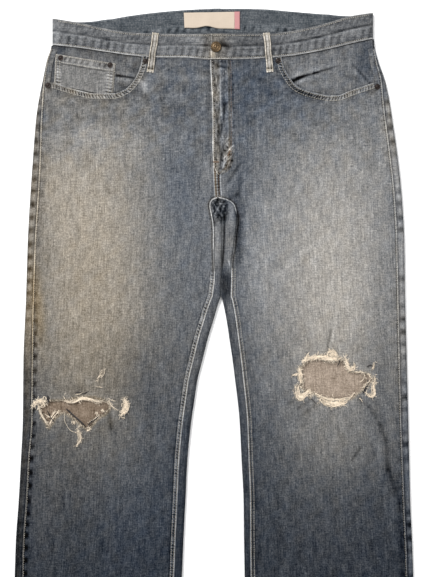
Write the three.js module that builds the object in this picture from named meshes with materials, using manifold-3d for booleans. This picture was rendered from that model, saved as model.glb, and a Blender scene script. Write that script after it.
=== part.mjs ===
// A pair of ripped blue jeans laid flat, front up. Millimetres, +Z up, the waist towards +Y.
// The origin is on the surface that the jeans lie on, below the middle of their box.
// "Right" and "left" are the wearer's, so the right leg lies on the -X side.
import * as THREE from "three";
import { mergeVertices } from "three/addons/utils/BufferGeometryUtils.js";
import Module from "manifold-3d";

const wasm = await Module();
wasm.setup();

// Driving sizes
const LENGTH = 1117; // from the back of the waist to the hem
const TOP = 7.5; // height of the flat front above the floor
const BACK_WALL = 2.4;
const FRONT_WALL = 1.6;
const FACING_WALL = 1.2;
const BAND_WALL = 2.7;
const BAND_TOP = 8.3; // height of the front of the waistband
const SEAM_GAP = 0.3; // between two pieces that are sewn together
const FOLD_UNDER = 3.8; // inset of a folded edge where it leaves the floor
const FOLD_OVER = 7; // inset of a folded edge where it meets the flat top
const FLAT_STEP = 10; // millimetres of flat top for each unit of the edge parameter past 2
const HIP_END = 290; // below this level the cross-sections run straight across
const CROTCH = 304;
const CURL_START = 298; // where the back panels start to turn up between the legs
const HEM_HEIGHT = 13;
const HEM_THICKER = 0.9;
const FRONT_HEM_SHORT = 3; // the front of each hem lies this much higher than the back

// The waist line, across from the right side fold to the left one. Each size is the distance below the back of the waist.
const WAIST = {
  x: [-259, -215, -175, -135, -95, -50, -6, 40, 80, 120, 155, 185, 217, 255],
  frontTop: [19, 25, 33, 38.4, 40.6, 41.3, 40.8, 40.8, 40.8, 37.3, 31, 23.7, 14.7, 9],
  frontBottom: [58.5, 63.5, 69.5, 75.2, 78.8, 78.8, 82, 81.6, 79.8, 76.5, 70.8, 64.8, 56.8, 48.5],
  backTop: [19, 22.5, 18.7, 12, 6.6, 2.5, 0.4, 0, 1.2, 5, 8.5, 11.7, 14, 9],
  backBottom: [58.5, 62, 59, 53, 48, 43.5, 41.4, 41, 42, 46, 49.5, 52, 53, 48.5],
};

// The line between the two halves: the centre seam, and below the crotch the place where the legs touch.
const CENTRE = {
  down: [0, 80, 243, 304, 342, 400, 461, 1117],
  x: [3, 4.8, 4, 6.4, 13, 12, 11.2, 11.2],
};

// Each leg's outline. down is the distance below the back of the waist, outer and inner are the edges' distances
// outwards from X = 0, and outseam and inseam are the seams' distances in from those edges.
const LEGS = {
  right: {
    down: [0, 58, 83, 115, 147, 179, 243, 307, 371, 467, 563, 659, 723, 787, 851, 909, LENGTH],
    outer: [258, 260.5, 268, 274.5, 281, 285.5, 290.5, 295, 298.5, 301.5, 305.5, 306.5, 309.5, 313, 317.5, 319.5, 326],
    outseam: [0, 0, 0.6, 2, 6, 8.5, 11.5, 12.5, 12, 11.5, 14, 14, 12, 12, 12, 12.5, 12],
  },
  left: {
    down: [0, 58, 83, 115, 147, 179, 243, 307, 371, 467, 563, 659, 723, 787, 851, 909, LENGTH],
    outer: [254, 257, 263, 274, 281, 286, 295, 301.5, 305, 306.5, 309, 311.5, 313, 314.5, 317.5, 319.5, 326],
    outseam: [0, 0.5, 3, 6, 10, 11.5, 12, 12, 12, 11.5, 12, 12, 11, 10, 10, 10, 10],
  },
};
const INNER = {
  down: [461, 467, 499, 531, 563, 595, 627, 659, 723, 787, 851, 909, LENGTH],
  right: [-11.2, -8.8, 0.8, 10.4, 18.4, 26.4, 31.2, 36, 42.4, 45.6, 48.8, 51.2, 60],
  left: [11.5, 13.4, 20, 24.8, 29.6, 33.6, 37.6, 40.8, 44, 47.2, 48, 49, 57],
};
const INSEAM = {
  down: [303.5, 306, 309, 316, 330, 356, 382, 410, 430, 461, 504, 627, 909, LENGTH],
  right: [0, 7, 10.5, 13.5, 14.5, 12.5, 12, 10.5, 9.5, 12.5, 14, 13, 12, 12],
  left: [0, 10, 17, 23, 23.5, 21, 18.5, 15, 15.5, 15, 14, 12, 9, 10],
};

// The largest folds of the front. x and down place the middle, turn is the angle in degrees from across towards the
// waist on the left, long and wide are half sizes, and rise is the height of a ridge, below zero for a trough.
const FOLD_COLUMNS = ["x", "down", "turn", "long", "wide", "rise"];
const FOLDS = [
  [42, 352, 86, 60, 11, -1.9],
  [55, 330, 80, 75, 12, 0.3],
  [26, 270, 55, 34, 9, -1.4],
  [40, 282, 70, 26, 8, 0.35],
  [-14, 352, 88, 55, 14, -0.9],
  [-40, 300, 60, 60, 16, -0.8],
  [135, 385, 38, 60, 9, -0.8],
  [200, 600, 65, 40, 9, -0.9],
  [268, 720, 112, 66, 10, -1.8],
  [284, 835, 108, 80, 10, -1.5],
  [252, 700, 112, 70, 12, 0.35],
  [228, 712, 35, 26, 9, -1],
  [-60, 210, 15, 80, 20, -0.9],
  [95, 215, -12, 70, 18, -0.9],
  [180, 250, -30, 90, 20, -0.7],
  [-200, 200, 25, 70, 22, -0.8],
  [-235, 520, 80, 130, 26, -0.8],
  [-120, 560, 84, 150, 34, -0.7],
  [-75, 650, 60, 60, 16, -0.9],
  [-230, 900, 82, 120, 24, -0.9],
  [-120, 960, 95, 120, 28, -0.8],
  [110, 620, 100, 120, 26, -0.8],
  [120, 900, 84, 150, 26, -0.9],
  [220, 990, 96, 90, 22, -1],
  [190, 450, 80, 110, 34, -0.6],
].map((row) => Object.fromEntries(row.map((value, i) => [FOLD_COLUMNS[i], value])));

// A knee rip's outline, in millimetres across and up from the rip's middle, clockwise.
const RIP_RIGHT = {
  x: -220,
  down: 642,
  across: [-53, -44, -23, -8, 9, 24, 40, 50, 55, 46, 33, 25, 18, 9, -7, -18, -26, -34, -41, -44, -50, -56, -58, -58],
  up: [10, 14, 14, 15, 19, 20, 15, 11, 5, -7, -15, -26, -33, -26, -12, -5, -6, -15, -26, -30, -21, -10, -1, 5],
};
const RIP_LEFT = {
  x: 194,
  down: 594,
  across: [-55, -46, -38, -26, -14, -2, 8, 13, 15, 22, 32, 42, 54, 60, 54, 48, 34, 27, 18, 2, -13, -22, -31, -45, -53, -55, -52, -56],
  up: [20, 29, 34, 33, 29, 28, 32, 31, 24, 13, 12, 12, 8, 0, -8, -14, -24, -30, -32, -33, -32, -28, -24, -20, -16, -8, 0, 10],
};

// The front pockets' scooped edges, from the waistband to the outseam, as X and distance below the back of the waist.
const SCOOP_RIGHT = {
  x: [-115, -116, -120, -129, -144, -162, -190, -213, -236, -257, -276],
  down: [76, 87, 100, 117, 131, 136.5, 136.5, 132.5, 126, 119, 114],
};
const SCOOP_LEFT = {
  x: [107.5, 112, 120.5, 131.5, 147, 167, 186, 198.5, 217, 237.5, 255, 276],
  down: [77, 95, 110.5, 124, 131.5, 137, 140, 139.5, 132.5, 125.5, 119.5, 114],
};

const COLOURS = {
  denim: 0x66707f,
  faded: 0x8d8f8f,
  inside: 0x8a8076,
  label: 0xe4d8c6,
  brass: 0x6f5a3c,
  copper: 0x5a3f33,
  thread: 0xdcc9ae,
};
const cloth = (colour) => new THREE.MeshStandardMaterial({ color: colour, roughness: 0.95, metalness: 0 });
const metal = (colour) => new THREE.MeshStandardMaterial({ color: colour, roughness: 0.45, metalness: 0.9 });

// Curves and heights

// Reads a column of a table at a place between its rows, with a smooth curve that doesn't overshoot.
function read(keys, values, at) {
  const last = keys.length - 1;
  if (at <= keys[0]) return values[0];
  if (at >= keys[last]) return values[last];
  let i = 0;
  while (keys[i + 1] < at) i++;
  const slope = (k) => (values[k + 1] - values[k]) / (keys[k + 1] - keys[k]);
  const tangent = (k) => {
    if (k === 0 || k === last) return slope(Math.min(k, last - 1));
    const [before, after] = [slope(k - 1), slope(k)];
    return before * after <= 0 ? 0 : (2 * before * after) / (before + after);
  };
  const span = keys[i + 1] - keys[i];
  const t = (at - keys[i]) / span;
  const hermite = (2 * t ** 3 - 3 * t ** 2 + 1) * values[i] + (3 * t ** 2 - 2 * t ** 3) * values[i + 1];
  return hermite + ((t ** 3 - 2 * t ** 2 + t) * tangent(i) + (t ** 3 - t ** 2) * tangent(i + 1)) * span;
}
const mix = (a, b, t) => a + (b - a) * t;
const clamp = (value, low, high) => Math.min(high, Math.max(low, value));
const smooth = (t) => clamp(t, 0, 1) ** 2 * (3 - 2 * clamp(t, 0, 1));
const toY = (down) => LENGTH / 2 - down;
const waist = (column, x) => read(WAIST.x, WAIST[column], x);
const centreX = (down) => read(CENTRE.down, CENTRE.x, down);

// One side's outline at a level, in distances outwards from X = 0.
function outline(side, down) {
  const leg = LEGS[side];
  const outwards = side === "left" ? 1 : -1;
  const touching = outwards * centreX(down) + SEAM_GAP / 2;
  return {
    outer: read(leg.down, leg.outer, down),
    outseam: read(leg.down, leg.outseam, down),
    inner: down < INNER.down[0] ? touching : read(INNER.down, INNER[side], down) + SEAM_GAP / 2,
    inseam: down < INSEAM.down[0] ? 0 : read(INSEAM.down, INSEAM[side], down),
    // Between the thighs, just below the crotch, the edges lean back into a hollow.
    over: FOLD_OVER + 5 * smooth((down - CROTCH) / 8) * (1 - smooth((down - 330) / 40)),
  };
}

// Height of the flat top of the front, with its folds.
function frontTop(x, down) {
  let height = TOP;
  for (const fold of FOLDS) {
    const turn = (fold.turn * Math.PI) / 180;
    const [dx, dy] = [x - fold.x, fold.down - down];
    const along = (dx * Math.cos(turn) + dy * Math.sin(turn)) / fold.long;
    const across = (dy * Math.cos(turn) - dx * Math.sin(turn)) / fold.wide;
    height += fold.rise * Math.exp(-(along ** 2) - across ** 2);
  }
  return clamp(height, 5.2, TOP + 0.4);
}

// Both faces of a folded edge. q is 0 on the floor, 1 at the edge itself and 2 where the fold meets the flat top.
// Gives each face's inset from the edge and height, for a wall under an outer height.
function foldedEdge(q, top, over, wall) {
  const half = TOP / 2;
  const turn = (Math.min(q, 2) % 1 || (q >= 1 ? 1 : 0)) * (Math.PI / 2);
  if (q <= 1) {
    const lower = q * (Math.PI / 2);
    return {
      outer: [FOLD_UNDER * (1 - Math.sin(lower)), half * (1 - Math.cos(lower))],
      inner: [FOLD_UNDER - (FOLD_UNDER - wall) * Math.sin(lower), half - (half - wall) * Math.cos(lower)],
    };
  }
  if (q < 2) {
    return {
      outer: [over * (1 - Math.cos(turn)), half + (top - half) * Math.sin(turn)],
      inner: [over - (over - wall) * Math.cos(turn), half + (top - half - wall) * Math.sin(turn)],
    };
  }
  const inset = over + (q - 2) * FLAT_STEP;
  return { outer: [inset, top], inner: [inset, top - wall] };
}
// The edge parameter of a seam that lies a distance in from the edge.
function edgeParameter(inset, over) {
  if (inset >= over) return 2 + (inset - over) / FLAT_STEP;
  return 1 + Math.acos(1 - inset / over) / (Math.PI / 2);
}
const GAP_Q = 0.02; // half of the seam gap, in the edge parameter

// Solids

// A closed wall from two grids of points, its outer and its inner face.
function wallGeometry(rows, columns, pairAt) {
  const points = [];
  const faces = [];
  const count = rows * columns;
  for (const face of ["outer", "inner"]) {
    for (let i = 0; i < rows; i++) for (let j = 0; j < columns; j++) points.push(...pairAt(i, j)[face]);
  }
  const quad = (a, b, c, d) => faces.push(a, b, c, a, c, d);
  for (let i = 0; i + 1 < rows; i++) {
    for (let j = 0; j + 1 < columns; j++) {
      const k = i * columns + j;
      quad(k, k + 1, k + columns + 1, k + columns);
      quad(count + k, count + k + columns, count + k + columns + 1, count + k + 1);
    }
  }
  const rim = [];
  for (let j = 0; j < columns; j++) rim.push(j);
  for (let i = 1; i < rows; i++) rim.push(i * columns + columns - 1);
  for (let j = columns - 2; j >= 0; j--) rim.push((rows - 1) * columns + j);
  for (let i = rows - 2; i > 0; i--) rim.push(i * columns);
  rim.forEach((a, k) => {
    const b = rim[(k + 1) % rim.length];
    quad(b, a, count + a, count + b);
  });
  return facingOut(new THREE.BufferGeometry()
    .setAttribute("position", new THREE.Float32BufferAttribute(points, 3))
    .setIndex(faces));
}

// Turns every face round if the solid is inside out.
function facingOut(geometry) {
  const [p, index] = [geometry.getAttribute("position"), geometry.index.array];
  const [a, b, c] = [new THREE.Vector3(), new THREE.Vector3(), new THREE.Vector3()];
  let volume = 0;
  for (let i = 0; i < index.length; i += 3) {
    a.fromBufferAttribute(p, index[i]);
    b.fromBufferAttribute(p, index[i + 1]);
    c.fromBufferAttribute(p, index[i + 2]);
    volume += a.dot(b.cross(c));
  }
  if (volume < 0) for (let i = 0; i < index.length; i += 3) [index[i + 1], index[i + 2]] = [index[i + 2], index[i + 1]];
  return geometry;
}

function toManifold(geometry) {
  const bare = geometry.clone();
  bare.deleteAttribute("normal");
  bare.deleteAttribute("uv");
  const merged = mergeVertices(bare, 1e-4);
  const mesh = new wasm.Mesh({
    numProp: 3,
    vertProperties: merged.getAttribute("position").array,
    triVerts: new Uint32Array(merged.index.array),
  });
  return new wasm.Manifold(mesh);
}

function toGeometry(solid) {
  const mesh = solid.getMesh();
  return new THREE.BufferGeometry()
    .setAttribute("position", new THREE.Float32BufferAttribute(mesh.vertProperties, 3))
    .setIndex([...mesh.triVerts]);
}

// An upright prism on an outline of [x, y] points.
function prism(points, low, high) {
  const shape = new THREE.Shape(points.map(([x, y]) => new THREE.Vector2(x, y)));
  const geometry = new THREE.ExtrudeGeometry(shape, { depth: high - low, bevelEnabled: false });
  return geometry.translate(0, 0, low);
}
const THROUGH = [-20, 40]; // from under the jeans to above them
const cut = (geometry, ...tools) =>
  toGeometry(tools.reduce((solid, tool) => solid.subtract(toManifold(tool)), toManifold(geometry)));

// Levels that the front and the back share, so that their seams match. They are given for the right side fold.
const WAIST_SIDE = 58.5; // the waistband's lower edge there
const HIP_LEVELS = [WAIST_SIDE + SEAM_GAP, 75, 93, 115, 131, 147, 179, 215, 252, HIP_END];
const LEG_LEVELS = [
  CURL_START, 301, 303.5, 306, 309, 316, 330, 348, 372, 400, 430, 461, 495, 530, 563, 597,
  632, 668, 705, 745, 790, 840, 890, 945, 1005, 1065, 1103.5, 1104.5, LENGTH,
];
const YOKE_LEVEL = 93; // the yoke seam, at the side fold
const YOKE_DIP = 36; // how much lower the yoke seam is at the centre back

// How much of the waist line's curve a level keeps: all of it at the top, none at HIP_END.
const curveLeft = (level) => 1 - smooth((level - HIP_LEVELS[0]) / (HIP_END - HIP_LEVELS[0]));
const sideX = (side) => (side === "left" ? WAIST.x.at(-1) : WAIST.x[0]);

// The real level of a point, for a shared level and a share of the way from the centre to the side fold.
function levelAt(side, level, share, column) {
  if (level >= HIP_END) return level;
  const x = mix(centreX(level), sideX(side), share);
  return level + (waist(column, x) - WAIST_SIDE) * curveLeft(level);
}
function backLevel(side, level, share) {
  const dip = YOKE_DIP * smooth((level - HIP_LEVELS[0]) / (YOKE_LEVEL - HIP_LEVELS[0]));
  return levelAt(side, level, share, "backBottom") + dip * (1 - share) * (1 - smooth((level - YOKE_LEVEL) / 170));
}

// The front panels
const FRONT_FLAT = 13;
const FRONT_FOLD = 3;

function frontPair(side, level, j, options) {
  const { top, wall } = options;
  const share = j <= FRONT_FOLD ? 1 : (1 - (j - FRONT_FOLD) / FRONT_FLAT) ** 1.25;
  const last = LEG_LEVELS.at(-1);
  const real = levelAt(side, level, share, "frontBottom") - FRONT_HEM_SHORT * smooth((level - 1045) / (last - 1045));
  const o = outline(side, real);
  const outwards = side === "left" ? 1 : -1;
  const start = edgeParameter(o.outseam, o.over) + GAP_Q;
  const end = Math.max(2.3, start + 0.3);
  const place = (inset, z) => [outwards * (o.outer - inset), toY(real), z];
  if (j <= FRONT_FOLD) {
    const q = mix(start, end, j / FRONT_FOLD);
    const x = outwards * (o.outer - foldedEdge(q, TOP, o.over, wall).outer[0]);
    const faces = foldedEdge(q, top(x, real), o.over, wall);
    return { outer: place(...faces.outer), inner: place(...faces.inner) };
  }
  const from = o.outer - foldedEdge(end, TOP, o.over, wall).outer[0];
  const seam = o.inseam > 0 ? o.inseam + SEAM_GAP : 0;
  const out = mix(o.inner + seam, from, share);
  const z = top(outwards * out, real);
  const place2 = (height) => [outwards * out, toY(real), height];
  return { outer: place2(z), inner: place2(z - wall) };
}

function frontPanel(side) {
  const levels = [WAIST_SIDE - 4, ...HIP_LEVELS, ...LEG_LEVELS].filter((level) => level !== WAIST_SIDE + SEAM_GAP);
  const hemTop = (x, down) =>
    frontTop(x, down) + (down > LENGTH - HEM_HEIGHT - FRONT_HEM_SHORT ? HEM_THICKER : 0);
  const geometry = wallGeometry(levels.length, FRONT_FOLD + FRONT_FLAT + 1, (i, j) =>
    frontPair(side, levels[i], j, { top: hemTop, wall: FRONT_WALL }));
  const rip = side === "left" ? RIP_LEFT : RIP_RIGHT;
  return cut(geometry, aboveFront(), prism(scoopArea(side), ...THROUGH), prism(ripPoints(rip, 0), ...THROUGH));
}

// The area of a pocket scoop, up past the waistband and out past the fold.
function scoopArea(side, raised = 0) {
  const scoop = side === "left" ? SCOOP_LEFT : SCOOP_RIGHT;
  const outwards = side === "left" ? 1 : -1;
  const edge = scoop.x.map((x, i) => [x, toY(scoop.down[i]) + raised]);
  const beyond = 330 * outwards;
  return [...edge, [beyond, toY(114) + raised], [beyond, toY(0)], [scoop.x[0], toY(0)]];
}

// A rip's outline in the part's frame, moved in by an inset.
function ripPoints(rip, inset) {
  const count = rip.across.length;
  const at = (k) => new THREE.Vector2(rip.x + rip.across.at(k % count), toY(rip.down) + rip.up.at(k % count));
  return rip.across.map((_, k) => {
    const here = at(k);
    const before = here.clone().sub(at(k + count - 1)).normalize();
    const after = at(k + 1).sub(here).normalize();
    const inwards = new THREE.Vector2(before.y + after.y, -before.x - after.x).normalize();
    const spread = Math.max(0.45, inwards.dot(new THREE.Vector2(before.y, -before.x)));
    return here.addScaledVector(inwards, inset / spread).toArray();
  });
}

// The back panels and the yoke
const CURL_STEPS = 6;
const BACK_FLAT = 5;
const CURL_SPREAD = 14; // where there is no curl between the legs, its points spread over this much of the floor side

function backPair(side, level, j) {
  const columns = CURL_STEPS + BACK_FLAT + CURL_STEPS;
  const share = clamp((j - CURL_STEPS) / BACK_FLAT, 0, 1);
  const real = backLevel(side, level, share);
  const o = outline(side, real);
  const outwards = side === "left" ? 1 : -1;
  const hem = real > LENGTH - HEM_HEIGHT ? HEM_THICKER * 0.6 : 0;
  const place = (out, z) => [outwards * out, toY(real), z];

  // How far the inner edge has turned up between the legs.
  const rising = clamp((real - CURL_START) / (303.5 - CURL_START), 0, 1);
  const seamQ = edgeParameter(o.inseam, o.over) - GAP_Q;
  const turned = real <= 303.5 ? rising : seamQ;
  const short = turned < 1 ? FOLD_UNDER * (1 - Math.sin((turned * Math.PI) / 2)) : 0;
  const innerEdge = o.inner - short;
  const spread = CURL_SPREAD * (1 - Math.min(turned, 1));
  const outerQ = edgeParameter(o.outseam, o.over) - GAP_Q;

  if (j < CURL_STEPS) {
    const f = j / CURL_STEPS;
    const q = turned * (1 - f);
    const shift = innerEdge + spread * f;
    const x = outwards * (shift + foldedEdge(q, TOP, o.over, BACK_WALL).outer[0]);
    const faces = foldedEdge(q, frontTop(x, real), o.over, BACK_WALL);
    return {
      outer: place(shift + faces.outer[0], faces.outer[1]),
      inner: place(shift + faces.inner[0], faces.inner[1]),
    };
  }
  if (j > CURL_STEPS + BACK_FLAT) {
    const q = (outerQ * (j - CURL_STEPS - BACK_FLAT)) / CURL_STEPS;
    const x = outwards * (o.outer - foldedEdge(q, TOP, o.over, BACK_WALL).outer[0]);
    const faces = foldedEdge(q, frontTop(x, real), o.over, BACK_WALL);
    return {
      outer: place(o.outer - faces.outer[0], faces.outer[1]),
      inner: place(o.outer - faces.inner[0], faces.inner[1]),
    };
  }
  const from = innerEdge + FOLD_UNDER + spread;
  const out = mix(from, o.outer - FOLD_UNDER, share);
  const middle = j > CURL_STEPS && j < columns - CURL_STEPS ? hem : 0;
  return { outer: place(out, 0), inner: place(out, BACK_WALL + middle) };
}

function backPanel(side, levels, shiftFirst) {
  const columns = CURL_STEPS + BACK_FLAT + CURL_STEPS + 1;
  const shifted = levels.map((level, i) => (i === 0 ? level + shiftFirst : level));
  return wallGeometry(shifted.length, columns, (i, j) => backPair(side, shifted[i], j));
}

// Everything above the yoke's upper seam, which follows the lower edge of the waistband's back
const BACK_BAND_CURL = 4;
const BACK_BAND_FLAT = 20;
const backBandX = (share) => mix(WAIST.x[0] + FOLD_UNDER, WAIST.x.at(-1) - FOLD_UNDER, share);
function aboveYoke() {
  const columns = Array.from({ length: BACK_BAND_FLAT + 1 }, (_, k) => backBandX(k / BACK_BAND_FLAT));
  const line = [-300, ...columns, 300].map((x) => [x, toY(waist("backBottom", x) + SEAM_GAP)]);
  line[0][1] = line[1][1];
  line[line.length - 1][1] = line[line.length - 2][1];
  return prism([...line, [300, toY(-20)], [-300, toY(-20)]], ...THROUGH);
}

// Patch pockets and belt loops on the back lie in recesses of the flat underside.
const FLAT_PIECE = 1; // thickness of a piece under the back
const POCKET = { inner: 52, outer: 208, down: 152, side: 132, point: 158, narrower: 9 };
const RECESS = FLAT_PIECE + SEAM_GAP;

function backPocketPoints(side, grown = 0) {
  const outwards = side === "left" ? 1 : -1;
  const middle = (POCKET.inner + POCKET.outer) / 2;
  return [
    [POCKET.inner - grown, -grown],
    [POCKET.outer + grown, -grown],
    [POCKET.outer - POCKET.narrower + grown, POCKET.side + grown * 0.6],
    [middle, POCKET.point + grown],
    [POCKET.inner + POCKET.narrower - grown, POCKET.side + grown * 0.6],
  ].map(([out, down]) => [outwards * out, toY(POCKET.down + down)]);
}

const BACK_LOOPS = {
  loop_back_right: { x: -176, top: 19 },
  loop_back_centre: { x: 4, top: 1.5 },
  loop_back_left: { x: 180, top: 12.5 },
};
const LOOP_WIDTH = 10.5;
const LOOP_LENGTH = 60;
function backLoopPoints({ x, top }, grown = 0) {
  const half = LOOP_WIDTH / 2 + grown;
  const [high, low] = [toY(top - grown), toY(top + LOOP_LENGTH + grown)];
  return [[x - half, low], [x + half, low], [x + half, high], [x - half, high]];
}
const loopRecesses = Object.values(BACK_LOOPS).map((loop) => prism(backLoopPoints(loop, SEAM_GAP), -5, RECESS));
const pocketRecess = (side) => prism(backPocketPoints(side, SEAM_GAP), -5, RECESS);

// The waistband
const BAND_ROWS = 4;
const FLY_EDGE = -5.7; // X of the left end of the fastened waistband, which overlaps the right end
const BAND_OVERLAP_RISE = 1;

function bandTop(x) {
  return BAND_TOP + (x > FLY_EDGE - 0.2 ? BAND_OVERLAP_RISE * (1 - smooth((x - 12) / 22)) : 0);
}

const BAND_FOLD = 3;
const BAND_FLAT = 13;
// X of a column of the front of the waistband, from the side fold to the fly
function bandX(side, j) {
  const outwards = side === "left" ? 1 : -1;
  const outer = Math.abs(sideX(side));
  const q = mix(1 + GAP_Q, 2.3, Math.min(j, BAND_FOLD) / BAND_FOLD);
  const end = side === "left" ? FLY_EDGE : -(FLY_EDGE - SEAM_GAP);
  const inFold = outer - foldedEdge(q, TOP, FOLD_OVER, BAND_WALL).outer[0];
  return outwards * mix(inFold, end, Math.max(0, j - BAND_FOLD) / BAND_FLAT);
}

function bandFront(side) {
  const outwards = side === "left" ? 1 : -1;
  const outer = Math.abs(sideX(side));
  return wallGeometry(BAND_ROWS, BAND_FOLD + BAND_FLAT + 1, (i, j) => {
    const x = bandX(side, j);
    const y = toY(mix(waist("frontTop", x), waist("frontBottom", x), i / (BAND_ROWS - 1)));
    if (j > BAND_FOLD) return { outer: [x, y, bandTop(x)], inner: [x, y, bandTop(x) - BAND_WALL] };
    const faces = foldedEdge(mix(1 + GAP_Q, 2.3, j / BAND_FOLD), bandTop(x), FOLD_OVER, BAND_WALL);
    return { outer: [x, y, faces.outer[1]], inner: [outwards * (outer - faces.inner[0]), y, faces.inner[1]] };
  });
}

// Everything above the seam between the waistband and the fronts
function aboveFront() {
  const columns = [...Array(BAND_FOLD + BAND_FLAT + 1).keys()];
  const right = columns.map((j) => bandX("right", j));
  const left = columns.map((j) => bandX("left", j)).reverse().slice(1);
  const line = [-300, ...right, ...left, 300].map((x) => [x, toY(waist("frontBottom", x) + SEAM_GAP)]);
  return prism([...line, [300, toY(-20)], [-300, toY(-20)]], ...THROUGH);
}

function bandBack() {
  const [curl, flat] = [BACK_BAND_CURL, BACK_BAND_FLAT];
  const columns = curl + flat + curl + 1;
  const geometry = wallGeometry(BAND_ROWS, columns, (i, j) => {
    const left = j > curl + flat / 2;
    const outer = Math.abs(left ? WAIST.x.at(-1) : WAIST.x[0]);
    const outwards = left ? 1 : -1;
    const fromEnd = left ? columns - 1 - j : j;
    const share = clamp((j - curl) / flat, 0, 1);
    const x = backBandX(share);
    const down = mix(waist("backTop", x), waist("backBottom", x), i / (BAND_ROWS - 1));
    if (fromEnd >= curl) return { outer: [x, toY(down), 0], inner: [x, toY(down), BAND_WALL] };
    const q = (1 - GAP_Q) * (1 - fromEnd / curl);
    const faces = foldedEdge(q, TOP, FOLD_OVER, BAND_WALL);
    return {
      outer: [outwards * (outer - faces.outer[0]), toY(down), faces.outer[1]],
      inner: [outwards * (outer - faces.inner[0]), toY(down), faces.inner[1]],
    };
  });
  return cut(geometry, ...loopRecesses);
}

// Pocket facings, which lie one layer under the fronts and come up to the fold above the scoop's outer end
const FACING_UNDER = 11; // how far a facing reaches under the edge of its scoop
const facingTop = (x, down) => frontTop(x, down) - FRONT_WALL - SEAM_GAP;
const FACING_LEVELS = [-4, 12, 24, 36, 46, 54, 60, 68, 80]; // from the waistband's lower edge

function facing(side) {
  const outwards = side === "left" ? 1 : -1;
  const [fold, flat] = [3, 7];
  const reach = side === "left" ? SCOOP_LEFT : SCOOP_RIGHT;
  const innerEnd = Math.abs(reach.x[0]) - FACING_UNDER;
  return wallGeometry(FACING_LEVELS.length, fold + flat + 1, (i, j) => {
    const share = j <= fold ? 1 : 1 - (j - fold) / flat;
    const shape = mix(0.72, 1, share * (1 - share) * 4);
    let out = mix(innerEnd, 262, share);
    let [down, faces, edge] = [0, null, 0];
    // Twice, because the level of a point in the fold depends on how far in it lies.
    for (let turn = 0; turn < 2; turn++) {
      down = waist("frontBottom", outwards * out) + FACING_LEVELS[i] * shape;
      const o = outline(side, down);
      const seam = edgeParameter(o.outseam, o.over);
      const start = seam + GAP_Q * 8 + 0.28 * Math.sin(Math.PI * clamp(seam - 1, 0, 1));
      const q = mix(start, Math.max(2.3, start + 0.2), Math.min(j, fold) / fold);
      faces = foldedEdge(q, TOP - FRONT_WALL - SEAM_GAP, o.over, FACING_WALL);
      edge = o.outer - smooth((down - 104) / 8) * 7; // below the scoop the facing keeps clear of the fold
      if (j <= fold) out = edge - faces.outer[0];
    }
    if (j <= fold) {
      const lift = Math.max(0, facingTop(outwards * edge, down) - faces.outer[1]) * smooth((down - 104) / 8);
      const inner = mix(faces.inner[0], faces.outer[0], smooth((down - 104) / 8));
      return {
        outer: [outwards * out, toY(down), faces.outer[1] + lift],
        inner: [outwards * (edge - inner), toY(down), faces.inner[1] + lift],
      };
    }
    const o = outline(side, down);
    const seam = edgeParameter(o.outseam, o.over);
    const from = edge - foldedEdge(Math.max(2.3, seam + 0.5), TOP, o.over, FACING_WALL).outer[0];
    const x = outwards * mix(innerEnd, from, share);
    const z = facingTop(x, down);
    return { outer: [x, toY(down), z], inner: [x, toY(down), z - FACING_WALL] };
  });
}

// The coin pocket, on the right facing, as corners: X and distance below the back of the waist
const COIN = { topOuter: [-253, 73], topInner: [-159, 88.5], bottomInner: [-164.5, 139], bottomOuter: [-255.5, 120] };
function coinPocket() {
  const [rows, columns] = [5, 8];
  const wall = wallGeometry(rows, columns, (i, j) => {
    const [u, v] = [j / (columns - 1), i / (rows - 1)];
    const at = (k) =>
      mix(mix(COIN.topOuter[k], COIN.topInner[k], u), mix(COIN.bottomOuter[k], COIN.bottomInner[k], u), v);
    const [x, down] = [at(0), at(1)];
    const z = facingTop(x, down) + SEAM_GAP;
    return { outer: [x, toY(down), z + FACING_WALL], inner: [x, toY(down), z] };
  });
  const area = toManifold(prism(scoopArea("right", SEAM_GAP * 1.6), ...THROUGH));
  return toGeometry(toManifold(wall).intersect(area));
}

// The fly, an overlay on the fronts, by distance below the back of the waist
const FLY = {
  down: [82.8, 110, 150, 190, 225, 244, 254, 261, 265],
  edge: [-5.4, -4, -1.5, 0, 1, 1.2, 1.6, 2.6, 6],
  stitch: [27, 27.5, 28, 28.5, 28.5, 27, 23.5, 18, 12],
};
const FLY_WALL = 1.1;
function fly() {
  const columns = 5;
  return wallGeometry(FLY.down.length, columns, (i, j) => {
    const x = mix(FLY.edge[i], FLY.stitch[i], j / (columns - 1));
    const z = frontTop(x, FLY.down[i]) + SEAM_GAP;
    return { outer: [x, toY(FLY.down[i]), z + FLY_WALL], inner: [x, toY(FLY.down[i]), z] };
  });
}

// A front belt loop: a strip that bridges the waistband, from its upper edge to below its seam
const FRONT_LOOPS = {
  loop_front_right: { top: [-93, 41], bottom: [-102, 102] },
  loop_front_left: { top: [84, 41.5], bottom: [89.5, 102.5] },
};
const LOOP_WALL = 1.6;
const LOOP_LIFT = 2; // clear height under the middle of a front loop
const LOOP_PROFILE = { share: [0, 0.08, 0.2, 0.35, 0.5, 0.65, 0.8, 0.92, 1], lift: [0, 0.2, 0.8, 1, 1, 1, 0.7, 0.1, 0] };
function frontLoop({ top, bottom }) {
  return wallGeometry(LOOP_PROFILE.share.length, 2, (i, j) => {
    const share = LOOP_PROFILE.share[i];
    const x = mix(top[0], bottom[0], share) + (j - 0.5) * LOOP_WIDTH;
    const down = mix(top[1], bottom[1], share);
    const seat = down < waist("frontBottom", x) + 6 ? bandTop(x) : frontTop(x, down);
    const z = seat + SEAM_GAP + LOOP_LIFT * LOOP_PROFILE.lift[i];
    return { outer: [x, toY(down), z + LOOP_WALL], inner: [x, toY(down), z] };
  });
}

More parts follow.
